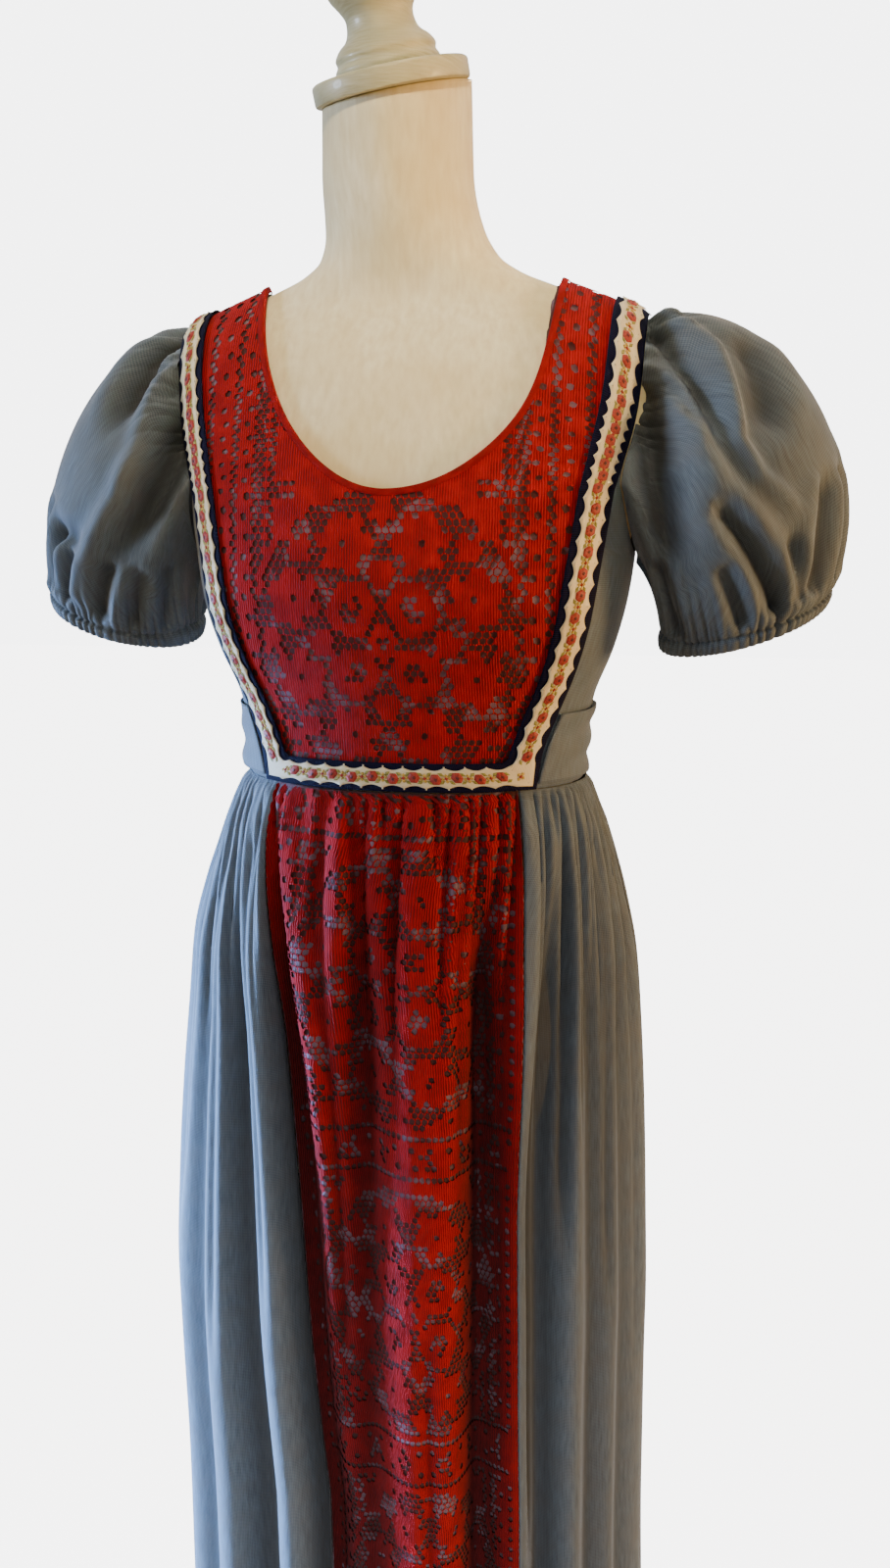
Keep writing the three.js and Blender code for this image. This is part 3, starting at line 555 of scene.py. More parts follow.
def cloth_place(material, scale=(1, 1, 1), turn=0.0):
    """Places on the cloth as it was cut, in metres, stretched and turned."""
    uv = add_node(material, "ShaderNodeUVMap", {}, uv_map="cloth")
    placing = {"Vector": uv, "Scale": scale, "Rotation": (0, 0, turn)}
    return add_node(material, "ShaderNodeMapping", placing)


def solid_place(material, upright=1.0):
    """Places in the piece, in metres, stretched along its height."""
    place = add_node(material, "ShaderNodeTexCoord", {}, "Object")
    return add_node(material, "ShaderNodeMapping", {"Vector": place, "Scale": (1, 1, upright)})


def threads(material, pitch, turn=0.0, wobble=0.6):
    """Bands of thread, pitch millimetres apart."""
    wave = {
        "Vector": cloth_place(material, turn=turn),
        "Scale": 2 * math.pi / (pitch * MM) / 20,
        "Distortion": wobble,
        "Detail": 1.0,
        "Detail Scale": 1.5,
    }
    return add_node(material, "ShaderNodeTexWave", wave, "Fac", wave_type="BANDS", bands_direction="X")


def patches(material, place, size, low, high, detail=2, roughness=0.5):
    """Uneven patches about size millimetres across. Gives their height, and how far each place
    is on the way from the low to the high height."""
    noise = {"Vector": place, "Scale": 1 / (size * MM), "Detail": detail, "Roughness": roughness}
    height = add_node(material, "ShaderNodeTexNoise", noise)
    levels = {"Value": height, "From Min": low, "From Max": high}
    return height, add_node(material, "ShaderNodeMapRange", levels)


def layered(material, ground, *layers):
    """A ground colour with others laid over it, each as far as its own pattern goes."""
    colour = linear(ground)
    for share, over in layers:
        blend = {SHARE: share, FIRST: colour, SECOND: linear(over)}
        colour = add_node(material, "ShaderNodeMix", blend, MIXED, data_type="RGBA")
    return colour


def painted_fold_shade(material, colour, least):
    """Painted shade: darkens the colour down in the cloth's folds, by the fold attribute, to least of
    its brightness where the folds are deepest.
    """
    fold = add_node(material, "ShaderNodeAttribute", {}, "Fac", attribute_name="fold")
    depth = {"Value": fold, "From Max": 0.8, "To Min": 1, "To Max": least}
    strength = add_node(material, "ShaderNodeMapRange", depth)
    return add_node(material, "ShaderNodeVectorMath", {0: colour, "Scale": strength}, operation="SCALE")


def cotton_chambray():
    # Plain-woven cotton with a blue warp and a pale weft: soft, with a dull gleam along the
    # folds, slubs that run down the cloth as broken pale streaks, and a worn, blotchy blue.
    material = new_material("cotton_chambray", Roughness=0.7, Sheen_Weight=0.3, Sheen_Roughness=0.35)
    # The real threads are 0.4 mm apart. They are drawn at 1.3 mm, to show in the render.
    over, under = threads(material, 1.3), threads(material, 1.3, math.pi / 2)
    weave = add_node(material, "ShaderNodeMath", {0: over, 1: under}, operation="ADD")
    along = cloth_place(material, (1, 0.13, 1))
    slubs, slubbed = patches(material, along, 2.4, 0.3, 0.72, 4, 0.6)
    _, worn = patches(material, cloth_place(material), 26, 0.4, 0.85, 4, 0.6)
    # Painted highlight: a paler colour on the tops of the weave
    painted_glints = add_node(material, "ShaderNodeMapRange", {"Value": weave, "From Min": 0.2, "From Max": 4.2})
    layers = (slubbed, "#60717d"), (worn, "#56595b"), (painted_glints, "#8a9499")
    # Painted shade: the colour is darkened down in the folds, by the fold attribute
    colour = painted_fold_shade(material, layered(material, "#334250", *layers), 0.22)
    height = add_node(material, "ShaderNodeMath", {0: weave, 1: slubs}, operation="ADD")
    return finish(material, colour, height, 0.14, 0.5)


def shaded_lining_under_lace():
    # The same chambray behind the lace, coloured with painted shade: dark and reddish for the shadow
    # and red light in the gaps behind the lace, with random patches of painted light in pale lilac.
    material = new_material("chambray_lining_painted_shade", Roughness=0.85)
    _, painted_light_patches = patches(material, cloth_place(material), 34, 0.5, 0.6, 4, 0.62)
    # Painted shade and painted light on the lining, darker still down in the folds
    colour = painted_fold_shade(material, layered(material, "#431713", (painted_light_patches, "#785d67")), 0.4)
    return finish(material, colour, threads(material, 1.3), 0.14, 0.5)


def red_lace():
    # Cotton machine lace: dull red with close upright ribs, and a little paler where it is worn.
    material = new_material("ribbed_lace", Roughness=0.92, Specular_IOR_Level=0.25)
    # The real ribs are 1.5 mm apart. They are drawn at 1.9 mm, to show in the render.
    ribs = threads(material, 1.9, 0, 0.9)
    _, worn = patches(material, cloth_place(material), 16, 0.4, 0.9, 3)
    colour = layered(material, "#5a0006", (ribs, "#aa070b"), (worn, "#b41012"))
    # Painted shade: the lace's colour is darkened down in its folds, by the fold attribute
    return finish(material, painted_fold_shade(material, colour, 0.22), ribs, 0.45, 0.8)


def navy_ribbon():
    # Grosgrain ribbon: near-black navy with ribs across it, dull but for a faint edge of light.
    material = new_material("grosgrain_ribbon", Roughness=0.8, Specular_IOR_Level=0.15)
    ribs = threads(material, 1.4, math.pi / 2, 0.1)
    return finish(material, layered(material, "#030316", (ribs, "#0d0d33")), ribs, 0.2, 0.7)


def woven_braid():
    # Jacquard-woven cotton braid: warm cream, faintly ribbed, with a soft gloss.
    material = new_material("jacquard_braid", Roughness=0.5, Sheen_Weight=0.2)
    ribs = threads(material, 1.1, 0, 0.1)
    _, age = patches(material, cloth_place(material), 9, 0.35, 0.8, 3)
    colour = layered(material, "#ecdcae", (age, "#d3b469"), (ribs, "#f4e9c8"))
    return finish(material, colour, ribs, 0.15, 0.6)


def embroidery(name, hex_colour):
    # Rayon embroidery floss: strong colour, with painted glint and shade on its fine twist.
    material = new_material(name, Roughness=0.5, Sheen_Weight=0.05)
    twist, painted_glint = patches(material, solid_place(material), 0.9, 0.35, 0.6)
    bright = linear(hex_colour)
    # A shaded copy of the colour, mixed in tiny patches for the painted shade on the twist
    dark = tuple(c * 0.45 for c in bright[:3]) + (1,)
    shades = {SHARE: painted_glint, FIRST: dark, SECOND: bright}
    colour = add_node(material, "ShaderNodeMix", shades, MIXED, data_type="RGBA")
    return finish(material, colour, twist, 0.3, 0.6)


def form_jersey():
    # Unbleached cotton jersey stretched over the form: pale and matte, with upright slubs.
    material = new_material("unbleached_jersey", Roughness=0.9, Sheen_Weight=0.3)
    place = solid_place(material)
    # The real stitches are 0.7 mm across. They are drawn at 1.4 mm, to show in the render.
    stitches = {"Vector": place, "Scale": 1 / (1.4 * MM), "Detail": 1}
    knit = add_node(material, "ShaderNodeTexNoise", stitches)
    slubs, slubbed = patches(material, solid_place(material, 0.25), 5, 0.3, 0.75, 4)
    _, age = patches(material, place, 60, 0.4, 0.9)
    colour = layered(material, "#e3d4a9", (slubbed, "#f6edca"), (age, "#dbc68f"))
    height = add_node(material, "ShaderNodeMath", {0: knit, 1: slubs}, operation="ADD")
    return finish(material, colour, height, 0.12, 0.5)


def satin_paint():
    # Turned beech under cream satin paint: brush marks run round the turning, and the paint
    # has yellowed unevenly.
    material = new_material("painted_beech", Roughness=0.42, Coat_Weight=0.15)
    strokes, brushed = patches(material, solid_place(material, 14), 14, 0.35, 0.8, 4)
    _, age = patches(material, solid_place(material), 40, 0.35, 0.8, 3)
    colour = layered(material, "#c4be97", (age, "#a9a078"), (brushed, "#cdc9a9"))
    return finish(material, colour, strokes, 0.25, 0.35)


def brushed_steel():
    # Brushed steel tube: grey, with fine scratches round it.
    material = new_material("brushed_steel", Roughness=0.32, Metallic=1.0)
    fine = {"Vector": solid_place(material, 30), "Scale": 1 / (12 * MM), "Detail": 3}
    scratches = add_node(material, "ShaderNodeTexNoise", fine)
    return finish(material, layered(material, "#9a9a98", (scratches, "#cfcfcc")), scratches, 0.05, 0.4)


CHAMBRAY = cotton_chambray()
SHADED_LINING = shaded_lining_under_lace()
LACE = red_lace()
NAVY = navy_ribbon()
BRAID = woven_braid()
JERSEY = form_jersey()
PAINT = satin_paint()
STEEL = brushed_steel()
ROSE = embroidery("rose_floss", "#b43322")
HEART = embroidery("rose_heart_floss", "#5e0705")
LEAF = embroidery("leaf_floss", "#aba54b")
BUD = embroidery("bud_floss", "#e2bd55")
BRAID_EDGE = embroidery("picot_floss", "#f0e3bd")


# Dress form


def torso():
    """The padded body and neck, closed at both ends, with a neck that leans under its cap."""
    rows = np.concatenate([np.linspace(780, 1400, 60), np.linspace(1404, 1566, 60)])
    turns = np.linspace(0, 2 * math.pi, 121)
    angle, z = np.meshgrid(turns, rows)
    s, c = np.sin(angle), -np.cos(angle)
    power = 2 / FIGURE.at(z, "power")
    depth = figure_depth(c, z)
    x = FIGURE.at(z, "side") * np.sign(s) * np.abs(s) ** power
    y = depth * np.sign(c) * np.abs(c) ** power
    lean = (y - NECK_TOP[1]) * math.tan(CAP_FORWARD_TILT) - x * math.tan(CAP_SIDE_TILT)
    z = z + lean * smooth(1445, 1566, z)
    x = x + NECK_TOP[0] * smooth(1430, 1520, z)
    points = np.stack([x, y, z], -1)
    mesh = grid_mesh("torso", points, cloth_uv(points))
    weld(mesh, close_ends=True)
    piece_from(mesh, "torso", JERSEY, "form_torso")


NECK_TOP = (-11, -15, 1566.6)
CAP_FORWARD_TILT = math.radians(15)
CAP_SIDE_TILT = math.radians(-8)
CAP_THICKNESS = 13


def turned(name, profile, node, material, place=Matrix(), steps=96):
    """A turned piece: radius and height pairs spun round the upright axis."""
    bm = bmesh.new()
    corners = [bm.verts.new((r * MM, 0, h * MM)) for r, h in profile]
    edges = [bm.edges.new(pair) for pair in zip(corners, corners[1:])]
    turn = dict(axis=(0, 0, 1), cent=(0, 0, 0), angle=2 * math.pi, steps=steps, use_merge=True)
    bmesh.ops.spin(bm, geom=corners + edges, **turn)
    bmesh.ops.remove_doubles(bm, verts=bm.verts, dist=0.00002)
    bmesh.ops.recalc_face_normals(bm, faces=bm.faces)
    bmesh.ops.transform(bm, matrix=place, verts=bm.verts)
    mesh = mesh_of(bm, name)
    piece_from(mesh, name, material, node)
    mesh.set_sharp_from_angle(angle=math.radians(38))


def rounded(profile, steps=6):
    """The profile on a smooth curve through its points."""
    points = [Vector(p) for p in profile]
    ends = [points[0]] + points + [points[-1]]
    out = []
    for a, b, c, d in zip(ends, ends[1:], ends[2:], ends[3:]):
        for k in range(steps):
            t = k / steps
            bent = (2 * a - 5 * b + 4 * c - d) * t * t + (3 * b - a - 3 * c + d) * t**3
            out.append(0.5 * (2 * b + (c - a) * t + bent))
    return [(max(p.x, 0), p.y) for p in out] + [profile[-1]]


def dress_form():
    torso()
    tilt = Matrix.Rotation(CAP_FORWARD_TILT, 4, "X") @ Matrix.Rotation(CAP_SIDE_TILT, 4, "Y")
    head = Matrix.Translation(Vector(NECK_TOP) * MM) @ tilt
    cap = [(0, 0), (52.5, 0), (53.5, 0.6), (54, 2), (54, 11), (53.6, 12.2), (52.5, 13), (0, 13)]
    turned("neck_cap", cap, "form_neck_cap", PAINT, head)
    knob = [(35, 0), (36, 4), (34, 8), (34.5, 12), (31, 17), (26, 21), (23.5, 26), (23, 33)]
    knob += [(26, 39), (31.5, 47), (33.5, 57), (31.5, 68), (25, 77), (13, 83), (0, 85)]
    seat = head @ Matrix.Translation((0, 0, (CAP_THICKNESS + 0.3) * MM))
    turned("knob", [(0, 0)] + rounded(knob), "form_knob", PAINT, seat)
    pole = [(0, 34.3), (13.4, 34.3), (14, 35), (14, 779), (13.4, 779.7), (0, 779.7)]
    turned("pole", pole, "form_pole", STEEL, steps=48)
    base = [(0, 0), (184, 0), (185, 1), (185, 10), (183, 14), (177, 18), (120, 20.5), (60, 24)]
    base += [(45, 27.5), (36, 32.5), (34, 34), (0, 34)]
    turned("base", base, "form_base", PAINT, steps=128)


# Bodice


def bodice():
    """The lining, side fronts and backs. Returns the area of the front in square metres."""
    climb = np.linspace(0, 1, 90)[:, None]
    share = np.linspace(0, 1, 45)[None, :]
    edge = lambda row: seam_turn(row, BRAID_SEAM_GAP)
    span = np.broadcast_to(share, (len(climb), share.size))
    half = [scooped_panel(span, climb, 5 / 7, FRONT_NECK_ROW, -1, side, edge) for side in (-1, 1)]
    turns, rows = (np.concatenate([half[0][k][:, :0:-1], half[1][k]], 1) for k in (0, 1))
    front = FRONT.place(turns, rows, LINING_LIFT)
    cloth("front_lining", front, "bodice_front", "draped", ["torso"], (SHADED_LINING, "chambray"))
    rows = np.linspace(WAIST, SHOULDER_TOP, 90)[:, None]
    share = np.linspace(0, 1, 26)[None, :]
    back_share = np.broadcast_to(np.linspace(0.002, 1, 45), span.shape)
    back_edge = lambda row: arm_turn(row, "back") - ARM_GAP
    for name, side in (("left", 1), ("right", -1)):
        across = share if side > 0 else share[:, ::-1]
        start = seam_turn(rows, -BRAID_SEAM_GAP)
        stop = arm_turn(rows, "front") - ARM_GAP
        puckers = 0.7 * np.sin(rows / 9) * np.exp(-across * 5) * smooth(1110, 1150, rows)
        points = FRONT.place(side * lerp(start, stop, across), rows, CLOTH_LIFT + puckers)
        cloth(f"side_front_{name}", points, f"bodice_side_{name}", "draped", ["torso"])
        turns, high = scooped_panel(back_share, climb, 4 / 6, BACK_NECK_ROW, 1, side, back_edge)
        if side > 0:
            turns, high = turns[:, ::-1], high[:, ::-1]
        folds = 1.1 * smooth(1210, 1110, high) * np.sin(np.abs(turns) * 26)
        points = BACK.place(turns, high, CLOTH_LIFT + np.maximum(folds, -0.4))
        cloth(f"back_{name}", points, f"bodice_back_{name}", "draped", ["torso"])
    return area_of(front) * MM * MM


# Lace: a hexagonal net, closed where the flowers and ribs are


HEXAGON = 5.2  # net pitch, as on the real lace
CELL_ROW = HEXAGON * 0.866  # height of a row of cells
CELL_REACH = HEXAGON / math.sqrt(3)  # from a cell's middle to its corners
NET_HOLE = 0.8  # share of a cell's width that is open
LARGE_HOLE = 0.93
NET_PULL = 0.42  # how far knots lie off the even net
ROW_REACH = HEXAGON * 0.44  # takes in one row of cells
SOLID, NET, EYELET = 0, 1, 2
# Upright bands of openwork by distance from the middle of a motif: half width in mm, what the
# cells are, and every how many rows of cells they come.
LACE_BANDS = (
    # distance, half width, kind, every, shift
    (84, 2.6, NET, 1, 0),
    (95, 4.2, NET, 1, 0),
    (106, 2.6, EYELET, 3, 0),
    (117, 2.6, NET, 1, 0),
    (127, 2.6, EYELET, 3, 2),
    (138, 2.6, NET, 1, 0),
)


LACE_EASE = 1.06  # how much wider the flat lace is than the front it is drawn over
SKIRT_LACE_LIFT = 2.2  # off the skirt's lining
BODICE_MEDALLION = 1201  # row of its middle
SKIRT_MEDALLION = (8, 955)  # middle of the first one on the flat lace
LACE_REPEAT = 250
MEDALLION_REACH = 104
MEDALLION_FLOWERS = (
    # how many, how far out, where they start, radius, petals, depth of notches, hole's radius
    (1, 0, 0, 13, 8, 0.3, 3.5),
    (4, 45, 0, 10, 6, 0.3, -1),
    (8, 71, math.pi / 8, 21.5, 6, 0.42, 3.4),
    (8, 86, 0, 9.5, 6, 0.3, -1),
)


def in_flower(u, v, radius, petals, deep):
    """True inside a round flower, whose petals are parted by notches deep into its radius."""
    swing = np.arctan2(u, v)
    reach = radius * (1 - deep + deep * np.abs(np.cos(petals / 2 * swing)))
    return np.hypot(u, v) / reach < 1


def around(u, v, count, radius, start=0.0):
    """The same point seen from each of several places on a circle, turned to face outwards."""
    for k in range(count):
        at = start + 2 * math.pi * k / count
        sine, cosine = math.sin(at), math.cos(at)
        yield u * cosine - v * sine, u * sine + v * cosine - radius


def medallion(u, v):
    """True where a medallion of flowers is closed cloth; elsewhere it is net."""
    closed = np.zeros(u.shape, bool)
    for count, distance, start, radius, petals, deep, eye in MEDALLION_FLOWERS:
        for side, out in around(u, v, count, distance, start):
            closed |= in_flower(side, out, radius, petals, deep) & (np.hypot(side, out) > eye)
    for side, out in around(u, v, 4, 31, math.pi / 4):
        # A full round scroll with a curl of net inside, open towards the middle
        distance = np.hypot(side, out)
        closed |= (distance < 18) & ((distance > 8.2) | (np.hypot(side - 3, out - 3) < 3.4))
    scalloped_edge = 99 + 6 * np.abs(np.sin(8 * np.arctan2(u, v)))
    closed |= np.abs(np.hypot(u, v) - scalloped_edge) < 3.1
    return closed


def lace_state(u, v, centre_u, centre_v, period):
    """What each cell of the lace is: closed, net or a large eyelet. u and v in millimetres."""
    state = np.full(u.shape, SOLID)
    v_near = v - centre_v
    if period:
        v_near = (v_near + period / 2) % period - period / 2
    across = u - centre_u
    side = np.abs(across)
    step = np.rint(v / CELL_ROW).astype(int)
    for distance, half, kind, every, shift in LACE_BANDS:
        state[(np.abs(side - distance) < half) & ((step + shift) % every == 0)] = kind
    # Small six-sided flowers in a row between the medallion and the bands
    sprig = np.hypot(side - 73, (v_near + 2030) % 60 - 30)
    state[(sprig < 8) & (sprig > 3.2)] = NET
    inside = np.hypot(across, v_near) < MEDALLION_REACH
    open_net = inside & ~medallion(across, v_near)
    state[inside] = SOLID
    state[open_net] = NET
    if period:
        # A closed band between one medallion and the next, with eyelets, net and rosettes
        band = np.abs(np.abs(v_near) - period / 2)
        state[band < 22] = SOLID
        every_third = np.rint(u / HEXAGON - 0.25).astype(int) % 3 == 0
        state[(np.abs(band - 8) < ROW_REACH) & every_third] = EYELET
        state[np.abs(band - 17) < ROW_REACH] = NET
        rosette = np.hypot((across + 2000) % 40 - 20, band)
        state[(rosette < 6.5) & (rosette > 2.5)] = NET
    return state


def net_cells(u_range, v_range):
    """Centres of a hexagonal lattice."""
    steps = [
        np.arange(math.floor(low / pitch) - 1, math.ceil(high / pitch) + 2, dtype=float)
        for (low, high), pitch in ((u_range, HEXAGON), (v_range, CELL_ROW))
    ]
    u, v = np.meshgrid(*steps)
    return ((u + 0.5 * (v % 2)) * HEXAGON).ravel(), (v * CELL_ROW).ravel()


def cell_shapes():
    """The closed cell, and the ring of an open one, as corners and faces made by bmesh."""
    shapes = {}
    for state, hole in ((SOLID, 0), (NET, NET_HOLE), (EYELET, LARGE_HOLE)):
        bm = bmesh.new()
        bmesh.ops.create_circle(bm, cap_ends=True, segments=6, radius=CELL_REACH)
        if hole:
            rim = HEXAGON / 2 * (1 - hole)
            bmesh.ops.inset_individual(bm, faces=list(bm.faces), thickness=rim)
            inner = [f for f in bm.faces if all(v.co.length < CELL_REACH - 0.1 for v in f.verts)]
            bmesh.ops.delete(bm, geom=inner, context="FACES")
        bm.verts.index_update()
        corners = np.array([v.co[:2] for v in bm.verts])
        faces = [[v.index for v in f.verts] for f in bm.faces]
        bm.free()
        shapes[state] = (corners, faces)
    return shapes


def joined(shapes):
    """One list of corners and faces from many copies; shapes holds corners per copy and faces."""
    all_corners, sizes, corner_of = [], [], []
    offset = 0
    for corners, faces in shapes:
        copies, count = corners.shape[0], corners.shape[1]
        base = offset + np.arange(copies)[:, None] * count
        for face in faces:
            corner_of.append((base + np.array(face)[None, :]).ravel())
            sizes.append(np.full(copies, len(face)))
        all_corners.append(corners.reshape(-1, corners.shape[-1]))
        offset += copies * count
    sizes = np.concatenate(sizes)
    starts = np.concatenate([[0], np.cumsum(sizes)[:-1]])
    return np.concatenate(all_corners), np.concatenate(corner_of), starts, sizes


def mesh_from(name, corners, corner_of, starts, sizes):
    mesh = bpy.data.meshes.new(name)
    mesh.vertices.add(len(corners))
    mesh.vertices.foreach_set("co", (corners * MM).ravel())
    mesh.loops.add(len(corner_of))
    mesh.loops.foreach_set("vertex_index", corner_of)
    mesh.polygons.add(len(sizes))
    mesh.polygons.foreach_set("loop_start", starts)
    mesh.update(calc_edges=True)
    return mesh


def lace_mesh(name, cells, state, keep, place):
    """Copies of the cells at their centres; place turns flat corners into points of the cloth."""
    shapes = []
    for kind, (outline, faces) in cell_shapes().items():
        centres = np.stack(cells, -1)[keep & (state == kind)]
        shapes.append((centres[:, None, :] + outline[None, :, :], faces))
    flat, corner_of, starts, sizes = joined(shapes)
    # The net is pulled a little out of true, as knotted thread is
    u, v = flat.T
    pulled = [np.sin(1.3 * v + 0.7 * np.sin(0.9 * u)), np.sin(1.1 * u + 2 * np.sin(0.6 * v))]
    flat, points, fold = place(flat + NET_PULL * np.stack(pulled, -1))
    mesh = mesh_from(name, points, corner_of, starts, sizes)
    write_uv(mesh, flat)
    write_fold(mesh, fold)
    weld(mesh, 0.04)
    return mesh


def bodice_lace(front_area):
    share = np.linspace(0, 1, 160)
    necks = {side: neckline(share, FRONT_NECK_ROW, -1, side) for side in (-1, 1)}
    edge_x = {side: FRONT.place(*necks[side])[:, 0] for side in (-1, 1)}

    def past_neck(x, row):
        """How far above the neckline a point is, and how far inside its edge."""
        over, beside = [], []
        for side in (-1, 1):
            over.append(row - np.interp(np.abs(x), edge_x[side], necks[side][1], right=9999))
            beside.append(np.interp(row, necks[side][1], edge_x[side], left=0) - np.abs(x))
        return np.where(x < 0, over[0], over[1]), np.where(x < 0, beside[0], beside[1])

    def to_cloth(flat):
        return flat[:, 0] / LACE_EASE, np.clip(flat[:, 1], WAIST, SHOULDER_TOP)

    cells = net_cells((-180, 180), (WAIST, SHOULDER_TOP))
    x, row = to_cloth(np.stack(cells, -1))
    over, beside = past_neck(x, row)
    inwards = np.maximum(-over, -beside)
    keep = (inwards > -3.2) & (np.abs(x) < BRAIDED_SEAM.at(row, "half"))
    keep &= (cells[1] < SHOULDER_TOP + 3) & (cells[1] > WAIST)
    state = lace_state(*cells, 0, BODICE_MEDALLION, 0)
    state[inwards < 5.5] = SOLID

    def place(flat):
        x, row = to_cloth(flat)
        over, beside = past_neck(x, row)
        outside = (over > 0) & (beside > 0)
        drop = outside & (over <= beside)
        row = np.where(drop, row - over, row)
        x = np.where(outside & ~drop, x + np.sign(x) * beside, x)
        limit = BRAIDED_SEAM.at(row, "half") - BRAID_SEAM_GAP
        x = np.clip(x, -limit, limit)
        return flat, FRONT.place(turn_at(x, row, -1), row, LACE_LIFT), np.zeros(len(row))

    mesh = lace_mesh("front_lace", cells, state, keep, place)
    piece = piece_from(mesh, "front_lace", LACE, "bodice_front_lace")
    on = dict(held="stretched", rests_on=["front_lining"], with_pieces=[neck_edge(necks)])


def neck_edge(necks):
    """The lace turned under along the neckline, as a plump edge 4 mm wide."""
    turn = np.concatenate([-necks[-1][0][::-1], necks[1][0][1:]])
    row = np.concatenate([necks[-1][1][::-1], necks[1][1][1:]])
    line = FRONT.place(turn, row, LACE_LIFT)
    ahead = unit(np.gradient(line, axis=0))
    out = unit(line - FRONT.place(turn, row, 0))
    away = unit(np.cross(out, ahead))
    away = away * np.sign((away * (line - [0, line[:, 1].mean(), 1460])).sum(-1, keepdims=True))
    roll = np.linspace(-2.2, 4, 9)[None, :, None]
    height = 1.1 * np.sqrt(np.clip(1 - ((roll - 0.6) / 3.6) ** 2, 0, 1))
    under = -3.2 * smooth(-0.6, -2.2, roll[..., 0])[..., None]
    points = line[:, None] + away[:, None] * np.maximum(roll, -0.7) + out[:, None] * (height + under)
    uv = np.stack(np.broadcast_arrays(roll[..., 0] * 3, np.arange(len(line))[:, None] * 2.0), -1)
    return piece_from(grid_mesh("neck_edge", points, uv), "neck_edge", LACE, None)


# Ribbon and braid round the lace


def ribbon_line(width, step):
    """The inner and outer edge of a ribbon, as x and row, from the right shoulder to the left."""
    half = width / 2
    middle = WAIST + 0.5 + RIBBON_WIDTH / 2
    climb_steps = int(round((SHOULDER_TOP - 1 - middle - half) / step))
    rows = np.linspace(SHOULDER_TOP - 1, middle + half, climb_steps, endpoint=False)
    seam = BRAIDED_SEAM.at(rows, "half")
    inner = list(zip(seam - half, rows))
    outer = list(zip(seam + half, rows))
    corner = float(BRAIDED_SEAM.at(middle, "half"))
    inner.append((corner - half, middle + half))
    outer.append((corner + half, middle - half))
    floor_steps = int(round(2 * (corner - half) / step))
    floor = (corner - half) * (1 - 2 * np.arange(1, floor_steps) / floor_steps)
    all_inner = inner + [(x, middle + half) for x in floor]
    all_outer = outer + [(x * (1 + half / corner), middle - half) for x in floor]
    all_inner += [(-x, row) for x, row in reversed(inner)]
    all_outer += [(-x, row) for x, row in reversed(outer)]
    return np.array(all_inner)[::-1], np.array(all_outer)[::-1]


def ribbon_points(width, step, across, lift, notch=None):
    inner, outer = ribbon_line(width, step)
    share = np.linspace(0, 1, across)[None, :, None]
    pull = np.zeros(len(inner)) if notch is None else notch(np.arange(len(inner)))
    pull = (pull / np.linalg.norm(outer - inner, axis=1))[:, None, None]
    share = lerp(pull, 1 - pull, share)
    flat = lerp(inner[:, None, :], outer[:, None, :], share)
    turn = turn_at(flat[..., 0], flat[..., 1], -1)
    return FRONT.place(turn, flat[..., 1], lift)


def strip_uv(points):
    run = np.linalg.norm(np.diff(points.mean(1), axis=0), axis=-1)
    run = np.concatenate([[0], np.cumsum(run)])
    side = np.linspace(-0.5, 0.5, points.shape[1]) * np.linalg.norm(points[0, 0] - points[0, -1])
    return np.stack(np.broadcast_arrays(side[None, :], run[:, None]), -1)


def trims():
    fine = ROSE_SPACING / 10
    points = ribbon_points(RIBBON_WIDTH, fine * 2, 9, RIBBON_LIFT)
    look = NAVY, "navy_ribbon"
    cloth("navy_ribbon", points, "ribbon_navy", "laid", ["front_lace"], look, 0.6, strip_uv(points))
    scallop = lambda k: BRAID_SCALLOP * np.abs(np.sin(math.pi * k / 10))
    braid = ribbon_points(BRAID_WIDTH, fine, 7, BRAID_LIFT, scallop)
    look = BRAID, "rosebud_braid"
    cloth("rosebud_braid", braid, "braid_rosebud", "laid", ["navy_ribbon"], look, 0.6, strip_uv(braid))
    sewn = ribbon_points(BRAID_WIDTH, fine, 3, BRAID_LIFT + 0.1)
    line = sewn[:, 1]
    ahead = unit(np.gradient(line, axis=0))
    across = unit(sewn[:, 2] - sewn[:, 0])
    out = unit(np.cross(across, ahead))
    out = out * np.sign((out * (line - [0, 0, 1250])).sum(-1, keepdims=True))
    scatter_motifs(line, ahead, across, out)


def motif_shape(petals, radius, height, deep):
    """A small raised flower or bud: a ring of petals round a crown."""
    bm = bmesh.new()
    bmesh.ops.create_circle(bm, cap_ends=True, cap_tris=False, segments=petals * 2, radius=radius)
    for vert in bm.verts:
        if vert.index % 2:
            vert.co *= 1 - deep
    bmesh.ops.inset_individual(bm, faces=list(bm.faces), thickness=radius * 0.35, depth=height)
    top = max(bm.faces, key=lambda f: f.calc_center_median().z)
    bmesh.ops.poke(bm, faces=[top], offset=height * 0.4)
    bm.verts.index_update()
    corners = np.array([v.co for v in bm.verts])
    faces = [[v.index for v in f.verts] for f in bm.faces]
    bm.free()
    return corners, faces


